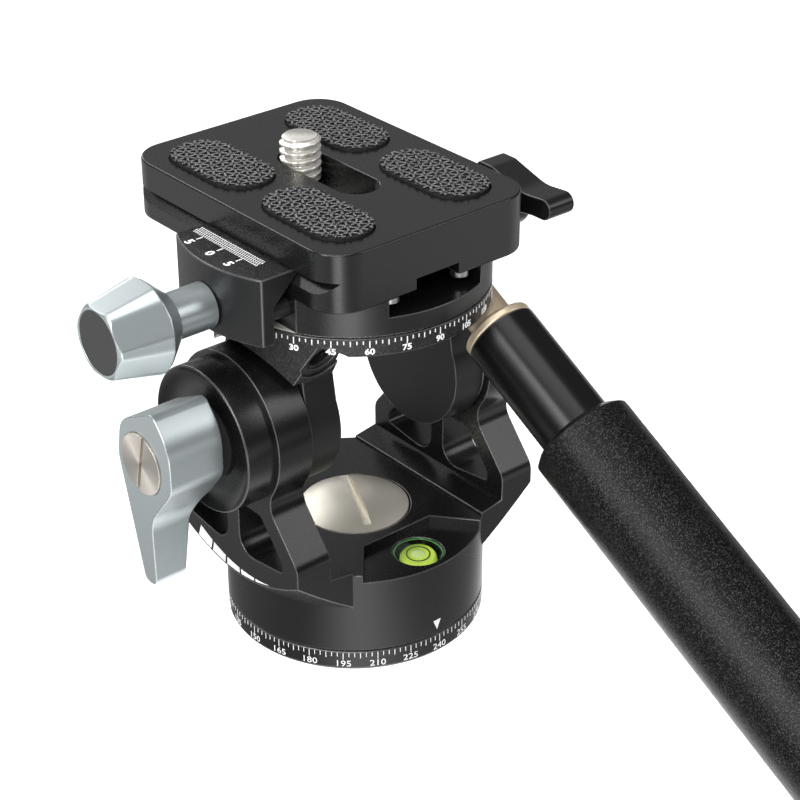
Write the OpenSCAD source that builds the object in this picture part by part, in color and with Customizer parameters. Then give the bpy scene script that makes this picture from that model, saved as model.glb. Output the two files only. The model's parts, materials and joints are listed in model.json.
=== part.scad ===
// Compact panning tilt head: a yoke that turns on a dial base, a cradle that tilts between its
// two arms, a dovetail clamp that turns on the cradle, a slide-in camera plate and a pan handle.
// The origin is the centre of the base's underside, on the tripod thread. +Z is up, X is the
// tilt axis with the silver lock lever at -X, and -Y is the front with the level and handle.

/* [Base] */
// Radius of the base dial and of the yoke's round foot
base_r = 20.7; // [20:0.1:21.5]
// Height of the fixed dial
dial_h = 3.6; // [3:0.1:4.2]
// Chamfer under the dial's rim
dial_chamfer = 0.5; // [0.2:0.1:0.8]
// Radius of the tripod thread, 3/8 inch
tripod_r = 4.7625; // [3.175:0.0025:5]
// Outer radius of the steel thread insert
insert_r = 6.2; // [5.8:0.1:6.4]
// Length of the thread insert
insert_h = 6.5; // [5:0.1:7.5]
// Radius of the spigot that the yoke turns on
spigot_r = 7.2; // [7:0.1:7.5]
// Thickness of the slip washer between dial and yoke
slip_t = 0.25; // [0.2:0.05:0.5]

/* [Pan screw] */
// Radius of the domed head
dome_r = 8.7; // [8.4:0.1:9]
// Height of the head's straight rim
dome_rim = 1.9; // [1.5:0.1:2.4]
// Rise of the dome above its rim
dome_rise = 2.4; // [1.8:0.1:2.8]
// Width of the screwdriver slot
dome_slot_w = 1.4; // [1:0.1:1.8]
// Direction of the slot, turned from the Y axis
dome_slot_turn = -24; // [-90:1:90]
// Radius of the screw's shank
dome_shank_r = 4; // [3.5:0.1:4.5]
// Thickness of the spring washer under the head
spring_t = 0.6; // [0.4:0.1:0.9]

/* [Yoke] */
// Height of the yoke's floor above the underside
floor_z = 17.8; // [17:0.1:18.6]
// Distance of the ledge's inner edge from the middle
ledge_in = 13.1; // [12.5:0.1:13.6]
// Rise of the ledge above the floor at its inner edge
ledge_rise = 0.4; // [0.2:0.1:0.8]
// Further rise of the ledge where it meets the arm
ledge_slope = 0.7; // [0.2:0.1:1]
// Distance of an arm's inner face from the middle
arm_in = 17.4; // [17:0.1:18]
// Thickness of an arm
arm_t = 6.3; // [5.5:0.1:7]
// Half width of an arm's foot
foot_half = 15.9; // [15.5:0.1:16.5]
// Height at which the foot starts to flare out under the arms
flare_z = 12; // [11:0.1:13]
// Height of the shoulder above the floor, where an arm starts to slant
shoulder_h = 5.3; // [4.8:0.1:6]
// Slant of an arm's sides above the horizontal
arm_slant = 50; // [48:0.5:53]
// Rounding of the shoulder
shoulder_round = 3; // [2:0.1:4]
// Height of the tilt axis above the underside
tilt_z = 40.5; // [40:0.1:42]
// Radius of the round boss at the top of an arm
boss_r = 12.4; // [12:0.1:12.6]
// Radius of the blend between an arm's side and its boss
boss_blend = 3.5; // [2:0.1:5]
// Width of the web between an arm's two windows
web_w = 3; // [2.4:0.1:4]
// Width of the rim outside a window
rim_w = 3.2; // [2.8:0.1:3.8]
// Height of the windows' sill above the floor
sill_h = 1.6; // [1.4:0.1:2.2]
// Height of the windows
window_h = 9.2; // [8:0.1:9.6]
// Further inset of a window's upright outer side
window_inset = 0.5; // [0.2:0.1:0.8]
// Height that a window's sill climbs towards its outer side
sill_climb = 1.5; // [1:0.1:2]

/* [Level] */
// Half width of the level's pocket at its back wall
pocket_half = 6.7; // [6:0.1:7.2]
// Half width of the pocket at the rim
pocket_flare = 12; // [11:0.1:12.4]
// Length of the pocket from its back wall to the foot's rim
pocket_l = 10.1; // [9.7:0.1:10.4]
// Depth of the pocket below the floor
pocket_d = 1.3; // [1:0.1:1.8]
// Distance of the vial's middle inside the foot's rim
level_inset = 5; // [4.8:0.1:5.2]
// Radius of the vial
level_r = 4; // [3.6:0.1:4.2]
// Height of the vial
level_h = 3.4; // [2.8:0.1:4]
// Height of the vial's clear crown above the pocket
level_crown = 0.5; // [0.3:0.1:0.8]

/* [Tilt lock] */
// Radius of the lock bolt and of the pivot bolt
bolt_r = 4; // [3.5:0.1:4.2]
// Wall left at the blind end of a lug's bore
lug_end = 1.3; // [1:0.1:2]
// Thickness of the friction washers between arms and lugs
friction_t = 0.4; // [0.3:0.05:0.6]
// Radius of the collar outside the left arm
collar_r = 11.5; // [10.8:0.1:12]
// Thickness of the collar
collar_t = 4.9; // [4:0.1:5.5]
// Radius of the dish in the collar's face
dish_r = 9.6; // [9:0.1:10.2]
// Depth of the dish
dish_d = 1; // [0.6:0.1:1.6]
// Radius of the thrust washer in the dish
thrust_r = 6; // [5.6:0.1:6.4]
// Gap from the collar's face to the lever
lever_gap = 1.2; // [0.8:0.1:1.6]
// Length of the lever's hub along the tilt axis
lever_w = 9.4; // [9:0.1:10.5]
// Half width of the lever's hub at the back
lever_hub = 6.3; // [6:0.1:6.8]
// Half width of the lever's hub at the front
lever_nose = 7.2; // [6.8:0.1:7.8]
// Height of the lever's crest above the axis
lever_crest = 9.6; // [9:0.1:10]
// Distance of the crest in front of the axis
crest_y = 3.4; // [3:0.1:3.8]
// Height of the hub's two shoulders above the axis
lever_shoulder = 5.2; // [5:0.1:5.6]
// Depth of the lever's waist below the axis
lever_waist = 9.2; // [8.8:0.1:10]
// Length of the lever's blade below the axis
lever_len = 21; // [19:0.1:22]
// Thickness of the blade's free end
blade_t = 2.9; // [2.6:0.1:3.4]
// Distance of the blade's free end in front of the axis, at its back
blade_y = -1.2; // [-1.6:0.1:-0.6]
// Width of the blade's free end
blade_w = 5.2; // [4.6:0.1:6]
// Distance by which the blade's root is wider than its free end
blade_flare = 1.6; // [1.2:0.1:2]
// Depth of the hub's inner corner below the axis
hub_drop = 7; // [6.4:0.1:7.4]
// Depth of the blade's root below the axis
root_drop = 11.2; // [10.6:0.1:12]
// Radius of the slotted cap screw on the lever
cap_r = 4.8; // [4.4:0.1:5.1]
// Thickness of the cap screw's head
cap_t = 1.6; // [1.2:0.1:2]
// Height that the cap screw stands proud of the lever
cap_proud = 0.3; // [0.1:0.1:0.5]
// Radius of the cap screw's shank
cap_shank_r = 2; // [1.5:0.1:2.2]
// Length of the cap screw's shank
cap_shank = 5; // [4:0.1:6]
// Width of the cap screw's slot
cap_slot_w = 0.7; // [0.5:0.1:1]
// Direction of the cap screw's slot, turned from upright
cap_slot_turn = 12; // [-90:1:90]
// Radius of the pivot bolt's flat head
pivot_head_r = 6.5; // [5.8:0.1:7]
// Thickness of the pivot bolt's head
pivot_head_t = 2; // [1.6:0.1:2.5]

/* [Cradle] */
// Radius of the cradle's dial ring and of the clamp above it
ring_r = 21.2; // [20.8:0.1:21.6]
// Height of the ring's underside above the tilt axis
ring_rise = 15.2; // [15:0.1:16]
// Thickness of the ring
ring_t = 2.9; // [2.6:0.1:3.4]
// Thickness of a lug
lug_t = 5.7; // [5:0.1:6.2]
// Radius of a lug's round end
lug_r = 11.3; // [10.8:0.1:11.6]
// Clearance of the saddle over an arm's boss
saddle_gap = 1.2; // [0.9:0.1:1.5]
// Height over the tilt axis where the lug begins to narrow
lug_neck_rise = 4.5; // [4:0.1:5.5]
// Round of that corner
lug_neck_round = 8; // [6:0.5:9]
// Half width of the saddle where it meets the ring
saddle_half = 12.8; // [12.2:0.1:13.2]
// Depth of the saddle below the ring
saddle_d = 6; // [5:0.1:6.4]
// Radius of the hub under the ring
hub_r = 8; // [7:0.1:8.6]
// Depth of the hub below the ring
hub_d = 4; // [3.6:0.1:4.6]
// Wall left under the thread in the hub
hub_wall = 1; // [0.8:0.1:1.4]

/* [Clamp] */
// Thickness of the clamp's disc
disc_t = 2.8; // [2.6:0.1:3.2]
// Height of the rails above the disc
rail_h = 2.7; // [2.5:0.1:3]
// Half width of the channel between the rails
channel_half = 8.7; // [8.6:0.1:9]
// Distance of the clamp's cut side inside the plate's edge
flat_inset = 0.5; // [0.2:0.1:0.8]
// Height of the clamp screws' axis above the disc's underside
screw_rise = 3.3; // [3.1:0.1:3.5]
// Half length of the jaws
jaw_half = 10.3; // [10:0.1:10.8]
// Distance of the moving jaw's inner wall outside the plate's edge
jaw_clear = 3.2; // [3:0.1:3.6]
// Thickness of the moving jaw at its bulge
jaw_t = 4.6; // [4.2:0.1:5.2]
// Radius of the moving jaw's bulged wall
jaw_bulge_r = 22; // [21:0.1:26]
// Depth of the moving jaw below the disc's underside
jaw_drop = 0.5; // [0.2:0.1:0.8]
// Distance of the fixed jaw's outer wall outside the plate's edge
fixed_wall = 4.4; // [4:0.1:5]
// Radius of the guide pins
guide_r = 1.5; // [1.2:0.1:1.7]
// Distance of the guide pins from the middle of the jaw
guide_y = 7.5; // [7:0.1:8]
// Depth of the guide pins in the clamp
guide_d = 8; // [6:0.1:9]
// Depth of the guide pins in the moving jaw
pin_hold = 1.8; // [1.5:0.1:1.9]
// Radius of the clamp spindle and of the pan lock stud
spindle_r = 2; // [1.6:0.1:2.1]
// Depth of the spindle in the clamp
spindle_d = 8.6; // [7:0.1:9]
// Thickness of the clip that holds the spindle in the jaw
clip_t = 0.8; // [0.5:0.1:1]
// Radius of the clip
clip_r = 3.2; // [2.8:0.1:3.4]
// Radius of the clamp pivot's head
pivot_disc_r = 8.3; // [8:0.1:8.4]
// Radius of the clamp pivot's shoulder
pivot_shoulder_r = 5; // [4.5:0.1:5.5]
// Radius of the clamp pivot's threaded end
pivot_thread_r = 3; // [2.5:0.1:3.5]
// Thickness of the disc left under the clamp pivot's head
pivot_shelf = 1.4; // [1.2:0.1:1.8]

/* [Clamp knob] */
// Radius of the knob's neck
neck_r = 3.5; // [3.2:0.1:4]
// Length of the neck
neck_len = 6.6; // [6:0.1:7.5]
// Length of the knob's six-sided body
knob_len = 11.4; // [10.5:0.1:12.5]
// Radius of the knob at its widest
knob_r = 7.2; // [6.8:0.1:7.6]
// Radius of the knob's outer rim
knob_rim_r = 5.6; // [5.4:0.1:6]
// Bevel of the knob's outer rim
knob_bevel = 0.4; // [0.2:0.1:0.6]
// Distance of the six flats from the axis at the widest end
flat_wide = 6.75; // [6.5:0.05:6.9]
// Distance of the six flats from the axis at the rim
flat_rim = 5.05; // [5:0.05:5.2]
// Length of the cone between neck and body
knob_cone = 3.4; // [2.8:0.1:4]
// Step between the neck and the cone
neck_step = 0.6; // [0.3:0.1:1]
// Radius of the black disc in the knob's end
disc_inset_r = 4.7; // [4.4:0.1:4.8]
// Thickness of the black disc
disc_inset_t = 0.8; // [0.5:0.1:1.2]
// Depth of the spindle in the knob's body
spindle_hold = 3.8; // [3:0.1:5]

/* [Pan lock lever] */
// Gap from the fixed jaw to the lever
pan_lever_gap = 2.6; // [2:0.1:3.2]
// Width of the lever's hub along its axis
pan_lever_w = 6.6; // [6:0.1:7.2]
// Radius of the lever's hub
pan_hub_r = 4.6; // [4.4:0.1:5]
// Height of the blade's crest above the axis
pan_crest = 7; // [6.4:0.1:7.4]
// Reach of the lever's blade from its axis
pan_reach = 14.8; // [14:0.1:16]
// Half thickness of the blade's tip
pan_tip_r = 1.8; // [1.6:0.1:2.2]
// Height of the blade's tip above the axis
pan_tip_rise = 3.7; // [3.4:0.1:4.4]
// Depth of the hollow in the blade's top, below its tip
pan_dip = 0.6; // [0.2:0.1:0.8]
// Distance of that hollow from the axis
pan_dip_y = 8.6; // [7.5:0.1:9.5]
// Inset of the blade from the hub's two faces
pan_inset = 0.7; // [0.4:0.1:1]
// Radius of the lever's neck
pan_neck_r = 4; // [3.6:0.1:4.4]
// Wall left outside the stud in the lever's hub
pan_wall = 1.6; // [1.2:0.1:2.4]
// Length of the brake shoe that the stud presses
shoe_len = 2; // [1.5:0.1:2.5]
// Distance of the released brake shoe from the clamp pivot's head
shoe_gap = 0.25; // [0.2:0.05:0.35]

/* [Plate] */
// Width of the plate across the dovetail
plate_w = 38; // [37.6:0.1:38.4]
// Length of the plate
plate_l = 50; // [48:0.5:52]
// Thickness of the plate
plate_t = 9.2; // [9:0.1:10]
// Thickness of the plate's top flange
flange_t = 4.4; // [4:0.1:4.8]
// Depth of the dovetail groove
groove = 2.2; // [2:0.1:2.4]
// Radius of the plate's corners
corner_r = 5.5; // [4:0.1:7]
// Distance that the plate is slid back at rest
plate_shift = 5.3; // [4:0.1:6]
// Half width of the channel under the plate
under_half = 4; // [3.5:0.1:4.5]
// Depth of the channel under the plate
under_d = 2; // [1.5:0.1:2.4]
// Half width of the slot for the camera screw
slot_half = 3.4; // [3.3:0.1:3.6]
// Front end of the slot from the plate's middle
slot_front = 10; // [8:0.1:11]
// Back end of the slot from the plate's middle
slot_back = 10; // [8:0.1:11]
// Depth of the pocket for the camera screw's head
head_pocket = 4; // [3.6:0.1:4.4]
// Radius of the four plate stop screws
stop_r = 1.4; // [1.2:0.1:1.5]
// Distance of the stop screws from the middle across the plate
stop_x = 6.6; // [6.4:0.1:6.8]
// Distance of the stop screws from the plate's ends
stop_in = 2.8; // [2.4:0.1:3.4]
// Height that the stop screws stand below the plate
stop_proud = 1.6; // [1.2:0.1:1.8]
// Depth of the stop screws in the plate
stop_d = 2; // [1.5:0.1:2.2]

/* [Camera screw] */
// Radius of the camera thread, 1/4 inch
camera_r = 3.175; // [3:0.0025:3.2]
// Height of the screw's end above the plate
camera_proud = 3.6; // [3:0.1:5.5]
// Radius of the neck that keeps the screw captive
camera_neck_r = 2.6; // [2.4:0.1:2.8]
// Radius of the screw's head
camera_head_r = 6.2; // [5.6:0.1:6.4]
// Thickness of the screw's head
camera_head_t = 2.4; // [2:0.1:2.8]
// Radius of the hexagon socket in the screw's head
socket_r = 2.5; // [2:0.1:2.8]
// Thickness of the captive washer above the head
captive_t = 0.5; // [0.3:0.1:0.8]

/* [Pads] */
// Width of a rubber pad
pad_w = 10; // [9:0.1:10.6]
// Length of a rubber pad
pad_l = 19.5; // [18:0.1:20.5]
// Distance of the pads from the middle across the plate
pad_x = 11; // [10.4:0.1:11.4]
// Distance of the pads from the middle along the plate
pad_y = 11.6; // [11:0.1:12]
// Depth of the pads' pockets
pad_d = 0.8; // [0.5:0.1:1.2]
// Height of the pads above the plate
pad_proud = 0.6; // [0.3:0.1:1]

/* [Handle] */
// Distance of the handle and of its spare thread from the middle
handle_x = 14.6; // [14.2:0.1:15]
// Angle of the handle below the horizontal
handle_drop = 28.8; // [26:0.1:32]
// Distance of the handle's axis from the tilt axis
handle_off = 17.35; // [17.1:0.05:17.5]
// Depth of the spot face that the handle seats on
spot_d = 0.4; // [0.3:0.05:0.6]
// Radius of the handle's thread
stud_r = 2.5; // [2:0.1:2.6]
// Depth of the handle's threads in the lugs
stud_d = 4; // [3.5:0.1:4.2]
// Radius of the bare stub
stub_r = 3.55; // [3.3:0.05:3.7]
// Length of the bare stub
stub_len = 5.9; // [5.6:0.1:6.4]
// Radius of the stub's flange
stub_flange_r = 5.7; // [5.4:0.1:6]
// Thickness of the stub's flange
stub_flange_t = 1.2; // [0.8:0.1:1.6]
// Length of the stub's tail inside the tube
tail_len = 14; // [10:0.5:18]
// Outer radius of the tube
tube_r = 5.75; // [5.5:0.05:6]
// Wall of the tube
tube_wall = 1.2; // [0.8:0.1:1.6]
// Length of the tube
tube_len = 140; // [110:1:170]
// Bare length of the tube before the grip
tube_bare = 19; // [17:0.5:23]
// Outer radius of the foam grip
grip_r = 8.2; // [7.6:0.1:9]
// Rounding of the grip's ends
grip_round = 2; // [1:0.1:3]
// Thickness of the end cap
end_cap_t = 3; // [2:0.1:4]

/* [Clearances] */
// Clearance between a fixed piece and its seat
seat_gap = 0.02; // [0.01:0.01:0.05]
// Running clearance around shafts and screws
run_gap = 0.05; // [0.02:0.01:0.1]
// Free clearance between pieces that move past each other
free_gap = 0.3; // [0.2:0.05:0.4]

/* [Hidden] */
$fn = 72;
// Overlap of cuts, a length beyond every piece, and the bevel of cast and turned corners
cut = 1;
far = 60;
bevel = 1;

// Rounding of the corners of a window, the tilt lever's face and flank, and the pan lever's blade
window_rounds = [1.2, 1.6, 1.5, 0.7, 3];
face_rounds = [5, 4, 1.6, 8, 4, 6, 1.3, 1.1];
flank_rounds = [2.5, 2.5, 1, 0, 0, 0.6];
blade_rounds = [1, 3, 8, 0.95 * pan_tip_r, 0.95 * pan_tip_r, 4, 3, 1];

black = [0.10, 0.10, 0.11];
dark = [0.16, 0.16, 0.17];
rubber = [0.20, 0.20, 0.21];
silver = [0.66, 0.71, 0.72];
nickel = [0.80, 0.78, 0.74];
steel = [0.62, 0.62, 0.63];
brass = [0.80, 0.68, 0.40];
champagne = [0.80, 0.68, 0.52];
nylon = [0.90, 0.90, 0.86];
lime = [0.72, 0.86, 0.25];

// Base and pan screw, from the underside up
yoke_z = dial_h + slip_t;
head_z = floor_z - dome_rim;
shelf_z = head_z - spring_t;
recess_r = dome_r + free_gap;

// Yoke
arm_out = arm_in + arm_t;
ledge_z = floor_z + ledge_rise;
root_z = ledge_z + ledge_slope;
shoulder_z = floor_z + shoulder_h;
slant_n = [sin(arm_slant), cos(arm_slant)];
slant_c = slant_n * [foot_half, shoulder_z];
sill_z = floor_z + sill_h;
lintel_z = sill_z + window_h;
pocket_z = floor_z - pocket_d;
pocket_back = base_r - pocket_l;
level_y = base_r - level_inset;

// Tilt lock, outwards from the left arm
lug_out = arm_in - friction_t;
lug_in = lug_out - lug_t;
bore_end = lug_in + lug_end;
bolt_bore = bolt_r + run_gap;
collar_x = arm_out + collar_t;
lever_in = collar_x + lever_gap;
lever_out = lever_in + lever_w;
cap_in = lever_out + cap_proud - cap_t;

// Clamp, outwards from the middle
half_w = plate_w / 2;
flat_x = half_w - flat_inset;
jaw_in = half_w + jaw_clear;
jaw_out = jaw_in + jaw_t;
fixed_out = half_w + fixed_wall;

// Cradle and clamp, upwards
ring_z = tilt_z + ring_rise;
ring_top = ring_z + ring_t;
disc_z = ring_top + slip_t;
disc_top = disc_z + disc_t;
rail_z = disc_top + rail_h;
screw_z = disc_z + screw_rise;
pivot_end = ring_z - hub_d + hub_wall;
pivot_z = disc_z + pivot_shelf;
pivot_top = rail_z - 2 * free_gap;

// Plate, upwards from the rails
plate_z = rail_z + free_gap / 3;
plate_top = plate_z + plate_t;
flange_z = plate_top - flange_t;
jaw_top = flange_z - free_gap;
// The dovetail's slope lies on x + z = slope_sum, seen from the right
slope_sum = half_w - groove + flange_z;
jaw_sum = slope_sum + free_gap / 2;
lip_x = jaw_sum - jaw_top;
camera_y = slot_back - slot_half;
thread_z = plate_top + pad_proud;
camera_head_z = plate_z + head_pocket - captive_t - free_gap - camera_head_t;

// Knob, outwards from the moving jaw
neck_x = jaw_out + free_gap / 3;
knob_in = neck_x + neck_len;
knob_out = knob_in + knob_len;
knob_wide = knob_in + knob_cone;

// Pan lock lever, outwards from the fixed jaw
pan_in = fixed_out + pan_lever_gap;
pan_out = pan_in + pan_lever_w;
shoe_in = pivot_disc_r + shoe_gap;

// Handle, along its axis from the spot face in the saddle's slanted side
handle_seat = saddle_half * cos(handle_drop) - ring_rise * sin(handle_drop) - spot_d;
seat_r = stub_r + free_gap;
tail_r = tube_r - tube_wall;
tube_start = stub_len + stub_flange_t;
tube_end = tube_start + tube_len;
grip_start = tube_start + tube_bare;

function unit(v) = v / norm(v);

// Points of an arc that rounds corner c between its neighbours p and n
function corner_arc(p, c, n, r, steps) =
  let (u = unit(p - c), v = unit(n - c), half = acos(u * v) / 2)
  let (m = c + unit(u + v) * r / sin(half), reach = r / tan(half))
  let (a = c + u * reach - m, b = c + v * reach - m)
  let (start = atan2(a.y, a.x), turn = atan2(a.x * b.y - a.y * b.x, a * b))
  [for (i = [0:steps]) m + r * [cos(start + turn * i / steps), sin(start + turn * i / steps)]];

// Outline with each corner rounded by its own radius, 0 for a sharp one
function rounded(points, radii, steps = 6) =
  let (count = len(points))
  [for (i = [0:count - 1])
    each (radii[i] == 0
      ? [points[i]]
      : corner_arc(points[(i + count - 1) % count], points[i], points[(i + 1) % count], radii[i], steps))];

// Prism along X from an outline in Y and Z
module x_prism(outline, x0, x1) {
  translate([x0, 0, 0]) rotate([90, 0, 90]) linear_extrude(x1 - x0) polygon(outline);
}

// Prism along Y from an outline in X and Z
module y_prism(outline, y0, y1) {
  translate([0, y1, 0]) rotate([90, 0, 0]) linear_extrude(y1 - y0) polygon(outline);
}

// Turned piece about an axis along X at height z, from an outline of radius and X
module x_turn(outline, z) {
  translate([0, 0, z]) rotate([0, 90, 0]) rotate_extrude() polygon(outline);
}

// Plain bar along X at height z
module x_bar(r, x0, x1, z) {
  translate([x0, 0, z]) rotate([0, 90, 0]) cylinder(r = r, h = x1 - x0);
}

// Flat ring from radius r0 to r1
module ring(r0, r1, z0, z1) {
  rotate_extrude() polygon([[r0, z0], [r1, z0], [r1, z1], [r0, z1]]);
}

// Flat slot along Y with round ends
module y_slot(half, y0, y1, z0, z1) {
  for (y = [y0 + half, y1 - half])
    translate([0, y, z0]) cylinder(r = half, h = z1 - z0);
  translate([-half, y0 + half, z0]) cube([2 * half, y1 - y0 - 2 * half, z1 - z0]);
}

// Moves to the handle's seat on one lug, with Z along the handle
module at_seat(side) {
  translate([side * handle_x, 0, tilt_z])
    rotate([90 + handle_drop, 0, 0])
      translate([0, handle_off, handle_seat])
        children();
}

module base_dial() color(black)
  rotate_extrude() polygon([
    [insert_r + seat_gap, 0], [base_r - dial_chamfer, 0], [base_r, dial_chamfer], [base_r, dial_h],
    [spigot_r, dial_h], [spigot_r, head_z], [dome_shank_r + seat_gap, head_z],
    [dome_shank_r + seat_gap, insert_h], [insert_r + seat_gap, insert_h]
  ]);

module thread_insert() color(steel)
  ring(tripod_r, insert_r, 0, insert_h);

module base_slip_washer() color(nylon)
  ring(spigot_r + free_gap, base_r - dial_chamfer, dial_h, yoke_z);

module pan_screw() color(nickel) {
  ball_r = (dome_r * dome_r + dome_rise * dome_rise) / (2 * dome_rise);
  slot_z = floor_z + dome_rise / 4;
  translate([0, 0, insert_h + free_gap])
    cylinder(r = dome_shank_r, h = head_z - insert_h - free_gap);
  difference() {
    union() {
      translate([0, 0, head_z]) cylinder(r = dome_r, h = dome_rim);
      intersection() {
        translate([0, 0, floor_z + dome_rise - ball_r]) sphere(r = ball_r);
        translate([0, 0, floor_z]) cylinder(r = dome_r, h = dome_rise);
      }
    }
    rotate(dome_slot_turn)
      translate([-dome_slot_w / 2, -far / 2, slot_z])
        cube([dome_slot_w, far, dome_rise]);
  }
}

module pan_spring_washer() color(steel)
  ring(spigot_r + free_gap, dome_r, shelf_z, head_z);

// Solid above which the foot flares outwards at 45 degrees
module flare() {
  top = tilt_z + boss_r + cut;
  reach = arm_out;
  rotate_extrude() polygon([
    [0, yoke_z], [base_r, yoke_z], [base_r, flare_z], [base_r + reach, flare_z + reach],
    [base_r + reach, top], [0, top]
  ]);
}

// One arm of the yoke, on the +X side
module arm() {
  neck_z = tilt_z - boss_r / 3;
  neck_y = (slant_c - slant_n.y * neck_z) / slant_n.x;
  axis = [0, tilt_z];
  // Centre of the blend, boss_blend away from both the slanted side and the boss
  blend_k = slant_c + boss_blend - slant_n * axis;
  blend_h = sqrt(pow(boss_r + boss_blend, 2) - blend_k * blend_k);
  blend_c = axis + slant_n * blend_k - [-slant_n.y, slant_n.x] * blend_h;
  on_boss = axis + (blend_c - axis) * boss_r / (boss_r + boss_blend);
  on_side = blend_c - slant_n * boss_blend;

  x_prism(
    rounded(
      [[-foot_half, yoke_z], [foot_half, yoke_z], [foot_half, shoulder_z], [neck_y, neck_z],
       [-neck_y, neck_z], [-foot_half, shoulder_z]],
      [0, 0, shoulder_round, 0, 0, shoulder_round]),
    arm_in, arm_out);
  x_bar(boss_r, arm_in, arm_out, tilt_z);
  for (side = [1, -1]) {
    difference() {
      x_prism([for (p = [on_boss, blend_c, on_side, [0, on_side.y]]) [p.x * side, p.y]], arm_in, arm_out);
      translate([0, blend_c.x * side, 0]) x_bar(boss_blend, arm_in - cut, arm_out + cut, blend_c.y);
    }
  }
}

// Outline of one window, on the +Y side of an arm
function window_outline(side) =
  let (inner_c = slant_c - rim_w, rim_y = foot_half - rim_w - window_inset)
  let (lintel_y = (inner_c - slant_n.y * lintel_z) / slant_n.x)
  let (bend_z = (inner_c - slant_n.x * rim_y) / slant_n.y)
  let (points = [
    [web_w / 2, lintel_z], [lintel_y, lintel_z], [rim_y, bend_z], [rim_y, sill_z + sill_climb],
    [web_w / 2, sill_z]
  ])
  rounded([for (p = points) [p.x * side, p.y]], window_rounds);

module yoke() color(black) difference() {
  union() {
    translate([0, 0, yoke_z]) cylinder(r = base_r, h = floor_z - yoke_z);
    intersection() {
      for (side = [0, 180])
        rotate(side) {
          arm();
          y_prism(
            [[ledge_in, yoke_z], [arm_out, yoke_z], [arm_out, root_z], [arm_in, root_z], [ledge_in, ledge_z]],
            -foot_half, foot_half);
        }
      flare();
    }
  }
  // Bearing for the base's spigot, and the seat of the pan screw
  translate([0, 0, yoke_z - cut]) cylinder(r = spigot_r + run_gap, h = floor_z);
  translate([0, 0, shelf_z]) cylinder(r = recess_r, h = floor_z);
  // Level's pocket, open to the front
  translate([0, 0, pocket_z])
    linear_extrude(floor_z)
      polygon([
        [-pocket_half, -pocket_back], [-pocket_flare, -sqrt(base_r * base_r - pocket_flare * pocket_flare)],
        [-pocket_flare, -base_r - cut], [pocket_flare, -base_r - cut],
        [pocket_flare, -sqrt(base_r * base_r - pocket_flare * pocket_flare)], [pocket_half, -pocket_back]
      ]);
  translate([0, -level_y, pocket_z - level_h]) cylinder(r = level_r + run_gap, h = level_h + cut);
  // Windows of both arms
  for (side = [1, -1]) {
    x_prism(window_outline(side), arm_in - cut, arm_out + cut);
    x_prism(window_outline(side), -arm_out - cut, -arm_in + cut);
  }
  // Bores for the lock bolt and the pivot bolt
  x_bar(bolt_bore, -arm_out - cut, -arm_in + cut, tilt_z);
  x_bar(bolt_r + seat_gap, arm_in - cut, arm_out + cut, tilt_z);
  x_bar(pivot_head_r + seat_gap, arm_out - pivot_head_t, arm_out + cut, tilt_z);
}

module level_vial() color(lime) {
  ball_r = (level_r * level_r + level_crown * level_crown) / (2 * level_crown);
  translate([0, -level_y, pocket_z - level_h]) cylinder(r = level_r, h = level_h);
  translate([0, -level_y, 0])
    intersection() {
      translate([0, 0, pocket_z + level_crown - ball_r]) sphere(r = ball_r);
      translate([0, 0, pocket_z]) cylinder(r = level_r, h = level_crown);
    }
}

module friction_washers() color(nylon)
  for (x = [-arm_in, lug_out])
    x_turn([[bolt_r + free_gap, x], [lug_r - free_gap, x], [lug_r - free_gap, x + friction_t],
      [bolt_r + free_gap, x + friction_t]], tilt_z);

module pivot_bolt() color(steel) difference() {
  x_turn([
    [0, bore_end + free_gap], [bolt_r, bore_end + free_gap], [bolt_r, arm_out - pivot_head_t],
    [pivot_head_r, arm_out - pivot_head_t], [pivot_head_r, arm_out], [0, arm_out]
  ], tilt_z);
  // Screwdriver slot
  translate([arm_out - pivot_head_t / 2, -pivot_head_r - cut, tilt_z - dome_slot_w / 2])
    cube([pivot_head_t, 2 * pivot_head_r + 2 * cut, dome_slot_w]);
}

module lock_collar() color(black)
  x_turn([
    [bolt_bore, -arm_out], [collar_r, -arm_out], [collar_r, -collar_x], [dish_r, -collar_x],
    [dish_r - dish_d, dish_d - collar_x], [bolt_bore, dish_d - collar_x]
  ], tilt_z);

module thrust_washer() color(nylon)
  x_turn([
    [bolt_r + free_gap, dish_d - collar_x], [thrust_r, dish_d - collar_x], [thrust_r, -lever_in],
    [bolt_r + free_gap, -lever_in]
  ], tilt_z);

// Steel bolt that the lever turns, screwed into the left lug
module lock_bolt() color(steel) difference() {
  x_bar(bolt_r, -cap_in, -bore_end - free_gap, tilt_z);
  x_bar(cap_shank_r + seat_gap, -cap_in - cut, -cap_in + cap_shank + free_gap, tilt_z);
}

// Outline of the tilt lever's face, in Y and Z from the tilt axis
function lever_face() =
  rounded(
    [[lever_hub, -bevel], [lever_hub - bevel, lever_shoulder], [-crest_y, lever_crest],
     [-lever_nose, lever_shoulder], [-lever_nose, -2 * bevel], [-blade_t / 2, -lever_waist],
     [-blade_t - blade_y, -lever_len], [-blade_y, bevel / 2 - lever_len]],
    face_rounds);

// Outline of the tilt lever seen from the front, in X outwards and Z from the tilt axis
function lever_flank() =
  let (inner = lever_out - blade_w, foot = -lever_len - cut, top = lever_crest + cut)
  rounded(
    [[lever_in, -hub_drop], [inner - blade_flare, -root_drop], [inner, foot], [lever_out + cut, foot],
     [lever_out + cut, top], [lever_in, top]],
    flank_rounds);

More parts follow.
